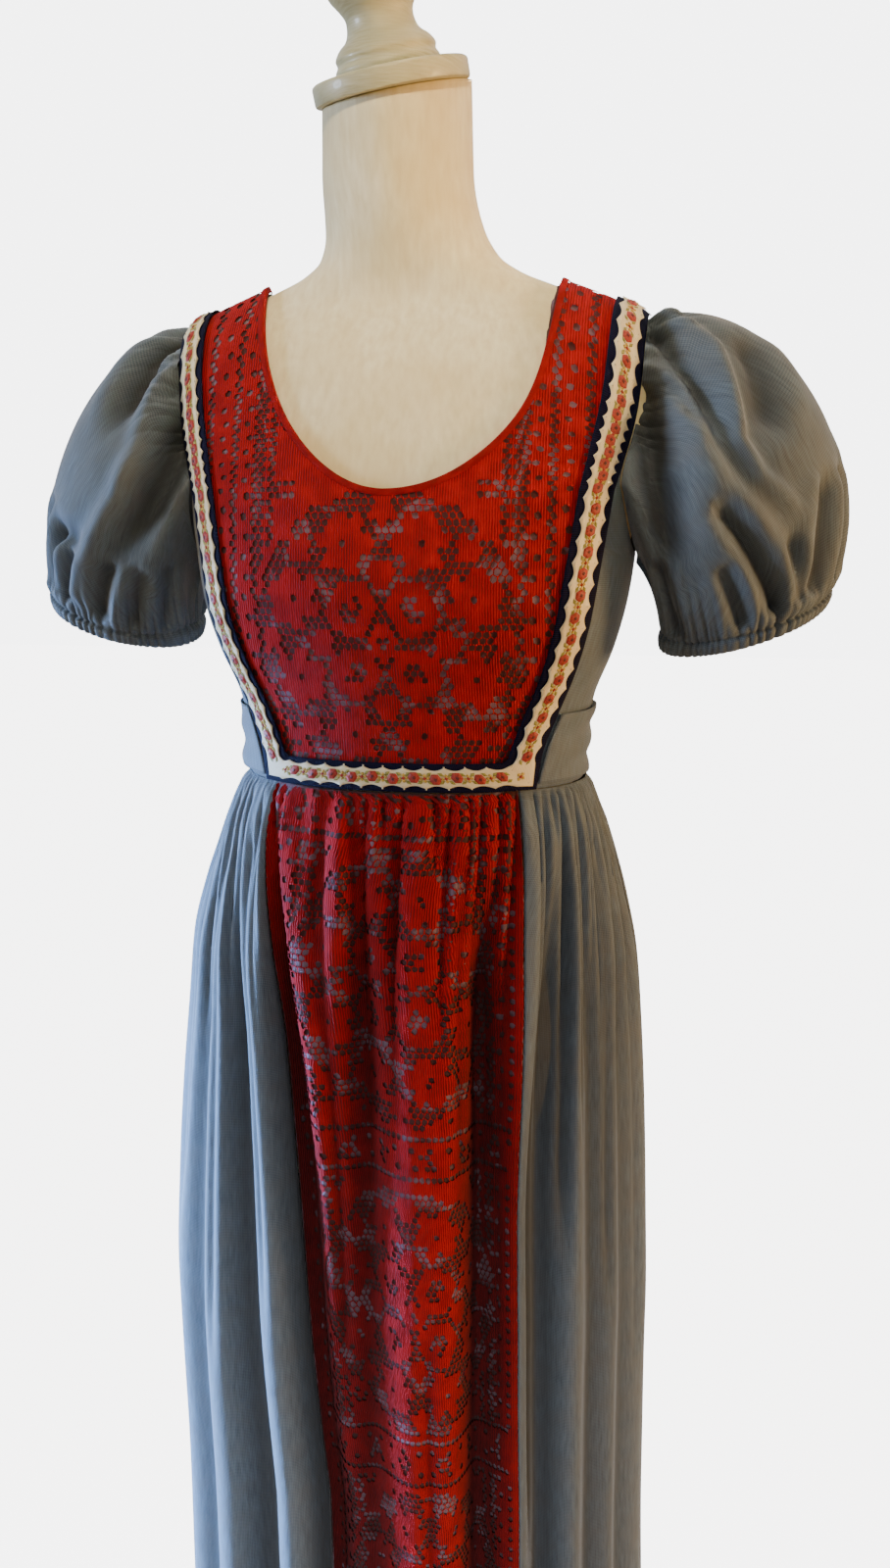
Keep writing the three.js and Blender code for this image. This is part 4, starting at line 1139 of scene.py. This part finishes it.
def scatter_motifs(line, ahead, across, out):
    """Roses along the braid, each with four leaves, and buds and picots between them."""
    roses = np.arange(5, len(line) - 3, 10)
    between = np.arange(10, len(line) - 3, 10)

    def copies(shape, places, along_by, across_by, spin=0.0, lift=0.0):
        corners, faces = shape
        cosine, sine = math.cos(spin), math.sin(spin)
        x = corners[:, 0] * cosine - corners[:, 1] * sine
        y = corners[:, 0] * sine + corners[:, 1] * cosine
        middle = line[places] + ahead[places] * along_by + across[places] * across_by
        side, up, off = across[places][:, None], ahead[places][:, None], out[places][:, None]
        z = corners[:, 2] + lift
        return middle[:, None] + x[:, None] * side + y[:, None] * up + z[:, None] * off, faces

    # The roses stand a little off the middle, to one side and the other in turn
    one, other = roses[::2], roses[1::2]
    picot_at = BRAID_WIDTH / 2 + 0.3
    motifs = (
        # piece, material, shape, places with how far along, how far across, spin and lift
        ("roses", ROSE, (6, 4.4, 0.8, 0.12), (one, 0, 0.7, 0, 0.3), (other, 0, -0.7, 0, 0.3)),
        ("rose_hearts", HEART, (4, 1.8, 0.5, 0.2), (one, 0.2, 0.7, 0.4, 1.0),
         (other, 0.2, -0.7, 0.4, 1.0)),
        ("red_buds", ROSE, (4, 1.4, 0.5, 0.2), (between, 0, 0, 0, 0.4)),
        ("leaves", LEAF, (2, 2.7, 0.4, 0.5), (roses, 4.3, 2.9, 0.5), (roses, 4.3, -2.9, -0.5),
         (roses, -4.2, 3, -0.6), (roses, -4.2, -3, 0.6)),
        ("picots", BRAID_EDGE, (3, 0.75, 0.4, 0.1), (between, 0, picot_at, 0, -0.4),
         (between, 0, -picot_at, 0, -0.4)),
        ("buds", BUD, (4, 1.5, 0.5, 0.2), (between, -2.3, 0.4), (between, 0.1, -2), (between, 0.3, 2),
         (between, 2.3, -0.3)),
    )
    for name, material, sizes, *places in motifs:
        shape = motif_shape(*sizes)
        mesh = mesh_from(f"braid_{name}", *joined([copies(shape, *at) for at in places]))
        piece_from(mesh, f"braid_{name}", material, None, flat=True)


# Sleeves

PUFFS = {
    "left": dict(cap_out=76, cap_rise=25, cuff_x=240, cuff_out=38, cuff_rise=108, depth=38),
    "right": dict(cap_out=54, cap_rise=12, cuff_x=232, cuff_out=12, cuff_rise=104, depth=36),
}
CUFF = dict(z=1209, half_width=57, half_depth=52, tilt=0.3, front_drop=13)
# Folds of the sleeves, listed one by one. Each runs through points given by turn, in degrees from
# the armpit over the front, and by run, the share of the way from the armhole to the cuff.
# A depth above 0 presses a valley in and one below 0 raises a ridge. Depth and width in mm.
SLEEVE_FOLDS = {
    "right": (
        # depth, width, (turn, run) ...
        (12, 10, (167, 0.02), (154, 0.15), (144, 0.22), (133, 0.3), (120, 0.38)),
        (-5, 8, (152, 0.02), (139, 0.08), (118, 0.13), (98, 0.24), (88, 0.45), (97, 0.73),
         (102, 0.9)),
        (13, 13, (100, 0.03), (80, 0.1), (69, 0.19), (64, 0.34), (72, 0.59), (82, 0.86)),
        (6, 9, (138, 0.78), (118, 0.74), (102, 0.66)),
        (6, 6, (80, 0.68), (85, 0.93)),
        (7, 7, (54, 0.62), (60, 0.93)),
        (7, 6, (110, 0.76), (117, 0.93)),
        (6, 6, (128, 0.72), (134, 0.94)),
        (6, 6, (146, 0.7), (150, 0.94)),
        (5, 6, (162, 0.74), (163, 0.94)),
        (5, 3.4, (177, 0), (171, 0.2)),
        (5, 3.4, (166, 0), (156, 0.14)),
        (4.5, 3, (153, 0), (147, 0.07), (140, 0.13)),
        (4.5, 3, (139, 0), (127, 0.1)),
        (4, 3, (122, 0), (108, 0.09)),
        (5, 4, (188, 0), (192, 0.22)),
        (9, 8, (200, 0), (206, 0.3), (214, 0.45)),
        (6, 5, (216, 0), (226, 0.25)),
        (5, 4, (232, 0), (244, 0.2)),
        (10, 11, (250, 0.02), (262, 0.3), (270, 0.6)),
        (9, 9, (222, 0.5), (234, 0.75), (240, 0.93)),
        (7, 7, (200, 0.62), (204, 0.93)),
        (6, 6, (180, 0.66), (178, 0.93)),
        (7, 7, (262, 0.7), (268, 0.93)),
        (8, 8, (292, 0.45), (296, 0.93)),
        (6, 7, (322, 0.5), (330, 0.93)),
        (7, 8, (26, 0.45), (34, 0.93)),
    ),
    "left": (
        (-7, 6, (168, 0.03), (160, 0.1), (149, 0.2), (134, 0.29), (118, 0.4), (116, 0.54),
         (126, 0.7), (136, 0.82)),
        (10, 6, (158, 0.02), (147, 0.08), (136, 0.16), (122, 0.26), (108, 0.38)),
        (-4, 10, (133, 0.07), (115, 0.19), (102, 0.33), (99, 0.46), (104, 0.67), (111, 0.8)),
        (6, 4, (136, 0.08), (119, 0.19), (110, 0.27)),
        (9, 12, (166, 0.26), (152, 0.36), (138, 0.44), (132, 0.54)),
        (14, 14, (126, 0.02), (101, 0.08), (74, 0.2), (56, 0.4), (52, 0.6), (62, 0.88)),
        (9, 7, (90, 0.48), (96, 0.62), (101, 0.78), (108, 0.93)),
        (8, 7, (152, 0.68), (141, 0.8), (134, 0.93)),
        (6, 5, (119, 0.74), (122, 0.94)),
        (7, 6, (168, 0.7), (160, 0.94)),
        (6, 6, (82, 0.7), (88, 0.94)),
        (6, 6, (184, 0.64), (180, 0.94)),
        (5, 3.4, (176, 0), (172, 0.13)),
        (4.5, 3, (166, 0), (159, 0.13)),
        (5, 4, (187, 0), (191, 0.22)),
        (4.5, 3, (148, 0), (139, 0.1)),
        (4.5, 3, (134, 0), (122, 0.09)),
        (9, 8, (200, 0), (206, 0.25), (214, 0.42)),
        (6, 5, (216, 0), (224, 0.22)),
        (5, 4, (232, 0), (243, 0.22)),
        (10, 11, (250, 0.02), (262, 0.3), (268, 0.6)),
        (9, 9, (220, 0.48), (230, 0.75), (236, 0.93)),
        (7, 7, (202, 0.62), (206, 0.93)),
        (7, 7, (256, 0.7), (262, 0.93)),
        (8, 8, (290, 0.45), (294, 0.93)),
        (6, 7, (320, 0.5), (328, 0.93)),
        (7, 8, (30, 0.45), (38, 0.93)),
    ),
}
CASING = 10  # height of the elastic's casing
# The painted shade in the sleeves' colour is darkest at this depth of fold
SLEEVE_SHADE = 13  # how deep a fold is where its cloth is darkest


def armhole_loop(share):
    """The armhole as a closed loop: share 0 is the armpit, then the front, the shoulder, the back."""
    climb = np.where(share <= 0.5, share * 2, (1 - share) * 2)
    row = lerp(ARMPIT, SHOULDER_TOP, climb)
    front = FRONT.place(arm_turn(row, "front"), row, 0.5)
    back = BACK.place(arm_turn(row, "back"), row, 0.5)
    return np.where((share <= 0.5)[..., None], front, back)


def smooth_sleeve(name, share, run):
    """The unfolded sleeve: its points and the way out of it, how near the top each one is, and
    how many millimetres it is from the armhole and from the casing of the elastic. run goes
    from 0 at the armhole to 1 at the casing and 2 at the hem."""
    puff = PUFFS[name]
    share, run = np.broadcast_arrays(np.asarray(share, float), np.asarray(run, float))
    swing = share * 2 * math.pi
    start = armhole_loop(share % 1)
    start[..., 0] += 0.6 + 1.1 * np.cos(share * math.pi) ** 2
    radial = unit(start * [0, 1, 1] - [0, 0, (ARMPIT + 1415) / 2])
    up = (1 - np.cos(swing)) / 2
    out_y = -np.sin(swing)
    across = CUFF["half_width"] * np.cos(swing)
    end_z = CUFF["z"] - CUFF["tilt"] * across + CUFF["front_drop"] * out_y
    end = np.stack([puff["cuff_x"] - across, CUFF["half_depth"] * out_y, end_z], -1)
    rise = np.where(radial[..., 2] > 0, puff["cap_rise"], 16) * radial[..., 2]
    leave = np.stack([lerp(14, puff["cap_out"], up), puff["depth"] * radial[..., 1], rise], -1)
    inward = -lerp(0, puff["cuff_out"], up) * np.cos(swing)
    arrive = np.stack([inward, 0.75 * puff["depth"] * out_y, lerp(16, puff["cuff_rise"], up)], -1)
    leaving, arriving = 3 * np.linalg.norm(leave, axis=-1), 3 * np.linalg.norm(arrive, axis=-1)
    casing = 1 - CASING / arriving
    way = np.where(run < 1, run * casing, lerp(casing, 1, run - 1))
    t = way[..., None]
    p = start * (1 - t) ** 3 + 3 * (start + leave) * t * (1 - t) ** 2
    p = p + 3 * (end + arrive) * t * t * (1 - t) + end * t**3
    core_x = lerp(start[..., 0], puff["cuff_x"], way)
    core_z = lerp(start[..., 2], CUFF["z"], way)
    out = unit(p - np.stack([core_x, 0 * way, core_z], -1))
    return p, out, up, way * leaving, (casing - way) * arriving


def fold_relief(name, p):
    """How far the listed folds press the sleeve in or out at each of its points."""
    relief = np.zeros(p.shape[:-1])
    for depth, width, *stops in SLEEVE_FOLDS[name]:
        stops = np.array(stops)
        at = np.linspace(0, len(stops) - 1, 12 * len(stops))
        turn = np.interp(at, np.arange(len(stops)), stops[:, 0])
        run = np.interp(at, np.arange(len(stops)), stops[:, 1])
        way = smooth_sleeve(name, turn / 360, run)[0]
        gap = np.linalg.norm(p[..., None, :] - way, axis=-1)
        nearest = gap.argmin(-1)
        gap = gap.min(-1)
        along = at[nearest] / at[-1]
        holds = smooth(0, 0.22, along) if stops[0, 1] > 0.05 else 1
        ends = 1 - smooth(0.55, 1, along) if stops[-1, 1] < 0.9 else 1
        valley = np.exp(-((gap / width) ** 2)) - 0.28 * np.exp(-(((gap - 2 * width) / width) ** 2))
        relief = relief - depth * holds * ends * valley
    return relief


def gathers(swing, count, wander):
    """Pinched gathers round a seam: rounded tops, sharp bottoms, uneven in place and depth."""
    phase = swing * count / 2 + wander * np.sin(swing * 5 + 0.7) + 0.6 * wander * np.sin(swing * 11)
    deep = 0.7 + 0.3 * np.sin(swing * 7 + 1)
    return deep * (np.abs(np.sin(phase)) ** 0.7 - 1)


def sleeve_points(name):
    side = 1 if name == "left" else -1
    share = np.linspace(0, 1, 401)[None, :]
    run = np.concatenate([np.linspace(0, 0.88, 48), np.linspace(0.9, 1, 9), np.linspace(1.1, 2, 10)])
    share, run = np.broadcast_arrays(share, run[:, None])
    swing = share * 2 * math.pi
    p, out, up, from_arm, to_casing = smooth_sleeve(name, share, run)
    folds = fold_relief(name, p)
    # Gathers let into the armhole, and the finer ones that the elastic draws up
    cap = 3.4 * gathers(swing, 46, 1.1) * smooth(0.3, 0.7, up)
    cap = cap * smooth(0, 2, from_arm) * (1 - smooth(8, 52, from_arm))
    drawn = 2.8 * gathers(swing, 66, 1.4) * (1 - smooth(2, 24, to_casing))
    wide = 2.2 * gathers(swing, 33, 1.0) * (1 - smooth(12, 50, to_casing))
    wide = wide * smooth(-4, 4, to_casing)
    # The casing of the elastic: pinched where it is stitched, plump below
    pinch = -2.4 * np.exp(-((to_casing / 1.6) ** 2))
    plump = 1.7 * np.sqrt(np.clip(1 - ((run - 1.5) / 0.56) ** 2, 0, 1))
    shape = folds * smooth(-2, 12, to_casing) + cap + drawn + wide + pinch + plump + 0.6
    p = p + out * shape[..., None]
    # How dark the painted shade is at each point, by how deep it lies in the folds and gathers
    fold = -(folds * smooth(-2, 12, to_casing) + 1.5 * (cap + drawn + wide)) / SLEEVE_SHADE
    # The hem turns under and goes up inside
    inner = p[-1] - out[-1] * 2.4
    inside = [inner - out[-1] * 0.4 * k + [0, 0, 1.5 + 3.5 * k] for k in range(3)]
    p = np.concatenate([p, np.stack(inside)])
    # Painted shade inside the turned-up hem
    fold = np.concatenate([fold, np.full((3, fold.shape[1]), 0.7)])
    p[:, -1] = p[:, 0]
    p[..., 0] *= side
    return (p, fold) if side > 0 else (p[:, ::-1], fold[:, ::-1])


def sleeves():
    for name in ("left", "right"):
        points, fold = sleeve_points(name)
        sewn_to = [f"side_front_{name}", f"back_{name}"]
        shape = points[::-1], f"sleeve_{name}", "gathered", sewn_to
        piece = cloth(f"puff_sleeve_{name}", *shape, thick=0, fold=fold[::-1])
        weld(piece.data)
        piece.data.polygons.foreach_set("use_smooth", [True] * len(piece.data.polygons))


# Skirt

FOLDS_DEEPER, CREASES_DEEPER = 1.2, 1.3  # than the tables say
FORM_CLEARANCE = 4
# The painted shade in the skirt's colour is darkest at this depth of fold
SKIRT_SHADE = 26  # how deep a fold is where its cloth is darkest


def skirt_angle(line, z):
    """The angle at which a line, named by its angle at the thigh, runs down the skirt."""
    stops = np.array([row[:4] for row in SKIRT_LINES], float)
    shape = np.broadcast(line, z).shape
    angles = [np.broadcast_to(np.interp(line, stops[:, 1], stops[:, k]), shape) for k in range(4)]
    return curve(np.array(SKIRT_LEVELS, float), np.stack(angles), np.broadcast_to(z, shape))


def skirt_points(line, z):
    """Points of the skirt, and how dark the painted shade is at each, by how deep in a fold it lies."""
    line, z = np.broadcast_arrays(np.asarray(line, float), np.asarray(z, float))
    angle = skirt_angle(line, z)
    growth = 1 - smooth(900, 1098, z) + 0.2 * (1 - smooth(HEM, 700, z))
    # The folds open out below the hips
    widening = 1.35 - 0.4 * smooth(760, 1040, z)
    folds = np.zeros_like(z)
    for row in SKIRT_LINES:
        if row[4]:
            away = (angle - skirt_angle(np.full_like(z, row[1]), z)) / (row[5] * widening)
            folds = folds - FOLDS_DEEPER * row[4] * growth * np.exp(-(away**2))
    creases = np.zeros_like(z)
    for place, depth, width, low, high in SKIRT_CREASES:
        away = (angle - skirt_angle(np.full_like(z, float(place)), z)) / width
        shows = smooth(low - 60, low + 60, z) * (1 - smooth(high - 40, high, z))
        creases = creases - CREASES_DEEPER * depth * shows * np.exp(-(away**2))
    # Fine gathers under the waist seam: they run together and fade on the way down
    swing = line * 1.55 + 1.8 * np.sin(line * 0.31) + 0.9 * np.sin(line * 0.77 + 1)
    fine = 2 * np.abs(np.sin(swing / 2)) ** 0.8 - 1 + 0.4 * np.sin(swing * 1.93 + 0.7)
    fades = smooth(0, 8, WAIST - z) * smooth(970 + 50 * np.sin(line * 0.6), 1086, z)
    coarse = np.abs(np.sin(swing * 0.245 + 0.6)) - 0.6
    gathered = 2.6 * fine * fades
    gathered = gathered + 6.5 * coarse * smooth(4, 40, WAIST - z) * smooth(850, 1040, z)
    out = folds + creases + gathered
    turn = np.radians(angle)
    side = SKIRT_OUTLINE.at(z, "side") + out
    depth = np.where(np.abs(angle) < 90, SKIRT_OUTLINE.at(z, "front"), SKIRT_OUTLINE.at(z, "back"))
    depth = depth + out
    x = SKIRT_OUTLINE.at(z, "shift") + side * np.sin(turn)
    y = -depth * np.cos(turn)
    # The deepest folds stop short of the form inside
    form_side = FIGURE.at(z, "side") + FORM_CLEARANCE
    form_depth = figure_depth(y, z) + FORM_CLEARANCE
    power = FIGURE.at(z, "power")
    reach = (np.abs(x / form_side) ** power + np.abs(y / form_depth) ** power) ** (1 / power)
    push = np.where(z > 775, np.maximum(1 / np.maximum(reach, 0.2), 1), 1)
    # How dark the painted shade is at each point, by how deep it lies in the folds, creases and gathers
    fold = -(folds + 1.6 * creases + 1.8 * np.minimum(gathered, 0)) / SKIRT_SHADE
    return np.stack([x * push, y * push, z], -1), fold


def outward(points):
    """The way out of a sheet at each of its points."""
    over = np.gradient(points, axis=1)
    up = np.gradient(points, axis=0)
    return unit(np.cross(over, up))


def skirt_sheet(start, stop, columns, rows):
    """A panel of the skirt between two lines: its points, the ways out of it and its folds."""
    lines = np.linspace(start + SKIRT_SEAM, stop - SKIRT_SEAM, columns)
    points, fold = skirt_points(lines[None, :], rows[:, None])
    normals = outward(points)
    normals[..., 2] *= smooth(0, 30, WAIST - rows)[:, None]
    return points, unit(normals), fold


def skirt():
    # Rows lie closer together near the waist
    rows = HEM + (SKIRT_TOP - HEM) * (1 - (1 - np.linspace(0, 1, 150)) ** 1.35)
    panels = (
        ("lining", "front", SHADED_LINING, LACE_FROM, LACE_TO, 150),
        ("side_left", "side_left", CHAMBRAY, LACE_TO, 90, 120),
        ("side_right", "side_right", CHAMBRAY, -90, LACE_FROM, 140),
        ("back_left", "back_left", CHAMBRAY, 90, 180, 170),
        ("back_right", "back_right", CHAMBRAY, -180, -90, 170),
    )
    for name, place, material, start, stop, columns in panels:
        points, normals, fold = skirt_sheet(start, stop, columns, rows)
        shape = points + normals, f"skirt_{place}", "gathered", []
        cloth(f"skirt_{name}_cloth", *shape, (material, "chambray"), fold=fold)


def skirt_lace():
    rows = np.linspace(HEM, SKIRT_TOP, 330)
    points, normals, fold = skirt_sheet(LACE_FROM, LACE_TO, 420, rows)
    steps = np.linalg.norm(np.diff(points, axis=1), axis=-1)
    length = np.concatenate([np.zeros((len(rows), 1)), np.cumsum(steps, 1)], 1)
    wide = float(length[:, -1].max())
    share = length / length[:, -1:]
    even = np.linspace(0, 1, 420)
    spread = lambda share, line: np.stack([np.interp(even, share, c) for c in line.T], -1)
    pick = lambda grid: np.stack([spread(*row) for row in zip(share, grid)])
    skin = Skin(even, rows, pick(points), unit(pick(normals)))
    depth_of = Skin(even, rows, pick(np.stack([fold] * 3, -1)), 0 * pick(normals))
    cells = net_cells((-wide / 2, wide / 2), (HEM, WAIST))
    u, v = cells
    state = lace_state(u, v, *SKIRT_MEDALLION, LACE_REPEAT)
    keep = (np.abs(u) < wide / 2) & (v > HEM) & (v < WAIST - 1)
    state[(np.abs(u) > wide / 2 - 6) | (v < HEM + 9)] = SOLID

    def place(flat):
        column = np.clip(flat[:, 0] / wide + 0.5, 0, 1)
        row = np.clip(flat[:, 1], HEM, WAIST - 0.7)
        return flat, skin.place(column, row, SKIRT_LACE_LIFT), depth_of.place(column, row)[:, 0]

    mesh = lace_mesh("skirt_lace", cells, state, keep, place)
    piece = piece_from(mesh, "skirt_lace", LACE, "skirt_front_lace")


# Sash, knot and tails

KNOT = dict(width=40, height=44, depth=24, z=1127)
KNOT_SEAT = 3.6  # the sash's height off the back under the knot
TAILS = {"left": 430, "right": 395}


def sash():
    rows = np.linspace(SASH_LOW, SASH_LOW + SASH_WIDTH, 22)[:, None]
    share = np.linspace(0, 1, 90)[None, :]
    for name, side in (("left", 1), ("right", -1)):
        start = seam_turn(rows, -(RIBBON_WIDTH / 2 + 3))
        stop = turn_at(4, rows, 1)
        sweep = lerp(start, math.pi - stop, share)
        in_front = sweep < math.pi / 2
        row = np.broadcast_to(rows, sweep.shape)
        up = (row - SASH_LOW) / SASH_WIDTH
        folds = 1.3 * np.sin(up * 13 + 2.2 * np.sin(share * 5 + side)) * smooth(0, 0.2, share)
        loose = 5 * np.exp(-(((share - 0.26) / 0.16) ** 2)) * (1 - up) if side < 0 else 0
        lift = SASH_LIFT + folds + loose
        turns = side * np.where(in_front, sweep, math.pi - sweep)
        front, back = FRONT.place(turns, row, lift), BACK.place(turns, row, lift)
        points = np.where(in_front[..., None], front, back)[:, ::side]
        bound_over = [f"side_front_{name}", f"back_{name}"]
        cloth(f"sash_band_{name}", points, f"sash_{name}", "stretched", bound_over)
        tail(name, side)
    knot()


def knot_y():
    back = BACK.place(np.array(0.01), np.array(float(KNOT["z"])), 0)[1]
    return float(back) + KNOT_SEAT + KNOT["depth"] / 2 + 0.3


def knot():
    """A plump roll of cloth, creased where the ends pull through it."""
    bm = bmesh.new()
    bmesh.ops.create_uvsphere(bm, u_segments=48, v_segments=32, radius=0.5)
    for vert in bm.verts:
        x, y, z = vert.co
        swing = math.atan2(z, x)
        crease = 1 + 0.05 * math.sin(swing * 7 + 3 * y) - 0.1 * math.exp(-((x * 5) ** 2)) * abs(z)
        vert.co *= crease
    size = Matrix.Diagonal((KNOT["width"], KNOT["depth"], KNOT["height"], 1))
    place = Matrix.Translation((0, knot_y() * MM, KNOT["z"] * MM)) @ Matrix.Scale(MM, 4) @ size
    bmesh.ops.transform(bm, matrix=place, verts=bm.verts)
    mesh = mesh_of(bm, "sash_knot_cloth")
    corners = np.empty(len(mesh.vertices) * 3)
    mesh.vertices.foreach_get("co", corners)
    write_uv(mesh, corners.reshape(-1, 3)[:, [0, 2]] / MM)
    piece_from(mesh, "sash_knot_cloth", CHAMBRAY, "sash_knot")


def tail(name, side):
    fall = np.linspace(0, 1, 90)[:, None]
    share = np.linspace(-1, 1, 22)[None, :]
    fall, share = np.broadcast_arrays(fall, share)
    top = KNOT["z"] - KNOT["height"] / 2 + 0.1
    z = top - TAILS[name] * fall
    half = lerp(9, SASH_WIDTH / 2, smooth(0, 0.4, fall))
    middle = side * (half + 2 + 24 * fall**2)
    x = middle + half * share
    sideways, back = SKIRT_OUTLINE.at(z, "side"), SKIRT_OUTLINE.at(z, "back")
    roll = 2.5 * np.cos((share + 1) * math.pi) * np.sin(fall * 5 + side)
    fine = 1.2 * np.sin(share * 9 + side) * (1 - smooth(0.1, 0.6, fall))
    lain = back * np.sqrt(1 - (x / sideways) ** 2) + 8 + roll + fine
    y = lerp(knot_y() + 0.5, lain, smooth(0, 0.18, fall))
    points = np.stack([x, y, z + 8 * fall * share * side], -1)
    cloth(f"sash_end_{name}", points, f"sash_tail_{name}", "hung", ["sash_knot_cloth"])


# Floor and light

BACKDROP = "#f6f6f7"
BACKDROP_GLOW = 6
LAMPS = (
    # name, place and height aimed at in metres, size, spread in degrees, watts, colour
    ("window", (-2.7, -0.95, 1.5), 1.1, 0.7, 180, 70, "#c4d8f6"),
    ("low window", (-2.4, 0.1, 0.75), 0.45, 0.4, 42, 34, "#8ab8ff"),
    ("room", (2.5, -0.4, 1.3), 0.9, 0.5, 180, 62, "#ffca84"),
    ("downlight", (0.5, -1.8, 2.5), 1.43, 0.3, 16, 0.55, "#ffe8bf"),
    ("doorway", (0.1, -2.3, 0.4), 0.42, 0.7, 38, 2.1, "#e6eaf4"),
)


def stage():
    bm = bmesh.new()
    bmesh.ops.create_grid(bm, x_segments=1, y_segments=1, size=12)
    mesh = mesh_of(bm, "floor")
    floor = add_object("floor", mesh)
    floor.location.z = -MM
    # Waxed boards: they throw back little light and that warm, so the cloth stays dark underneath
    boards = new_material(
        "waxed_boards", Base_Color=linear("#8a7961"), Roughness=0.6, Emission_Color=linear(BACKDROP)
    )
    # To the eye the floor and the backdrop are the same plain white from every side
    seen = add_node(boards, "ShaderNodeLightPath", {}, "Is Camera Ray")
    added = add_node(boards, "ShaderNodeMath", {0: seen, 1: BACKDROP_GLOW}, operation="MULTIPLY")
    mesh.materials.append(join(boards, Emission_Strength=added))
    world = bpy.data.worlds.new("studio")
    bpy.context.scene.world = world
    world.use_nodes = True
    # The room gives most of its light from behind, so that the folds in front keep their shade
    place = add_node(world, "ShaderNodeTexCoord", {}, "Generated")
    forward = add_node(world, "ShaderNodeSeparateXYZ", {0: place}, "Y")
    above = forward.node.outputs["Z"]
    behind = {"Value": forward, "From Min": -0.1, "From Max": 0.75, "To Min": 0.1, "To Max": 1.0}
    overhead = {"Value": above, "From Min": 0.0, "From Max": 0.35, "To Min": 0.4, "To Max": 1.0}
    glow = add_node(world, "ShaderNodeMapRange", behind)
    high = add_node(world, "ShaderNodeMapRange", overhead)
    light = add_node(world, "ShaderNodeMath", {0: glow, 1: high}, operation="MULTIPLY")
    seen = add_node(world, "ShaderNodeLightPath", {}, "Is Camera Ray")
    strength = add_node(world, "ShaderNodeMix", {0: seen, 2: light, 3: BACKDROP_GLOW})
    back = world.node_tree.nodes["Background"]
    back.inputs["Color"].default_value = linear(BACKDROP)
    world.node_tree.links.new(strength, back.inputs["Strength"])
    sky = bpy.data.lights.new("ceiling", "SUN")
    sky.energy = 1.5
    sky.angle = math.radians(50)
    sky.color = linear("#ffefdc")[:3]
    add_object("ceiling", sky).location = (0, 0, 4)
    for name, place, aim_height, size, spread, watts, colour in LAMPS:
        data = bpy.data.lights.new(name, "AREA")
        data.energy = watts
        data.size = size
        data.spread = math.radians(spread)
        data.color = linear(colour)[:3]
        lamp = add_object(name, data)
        lamp.location = place
        aim = Vector((0, 0, aim_height)) - Vector(place)
        lamp.rotation_euler = aim.to_track_quat("-Z", "Y").to_euler()


dress_form()
bodice_lace(bodice())
trims()
sleeves()
skirt()
skirt_lace()
sash()
stage()
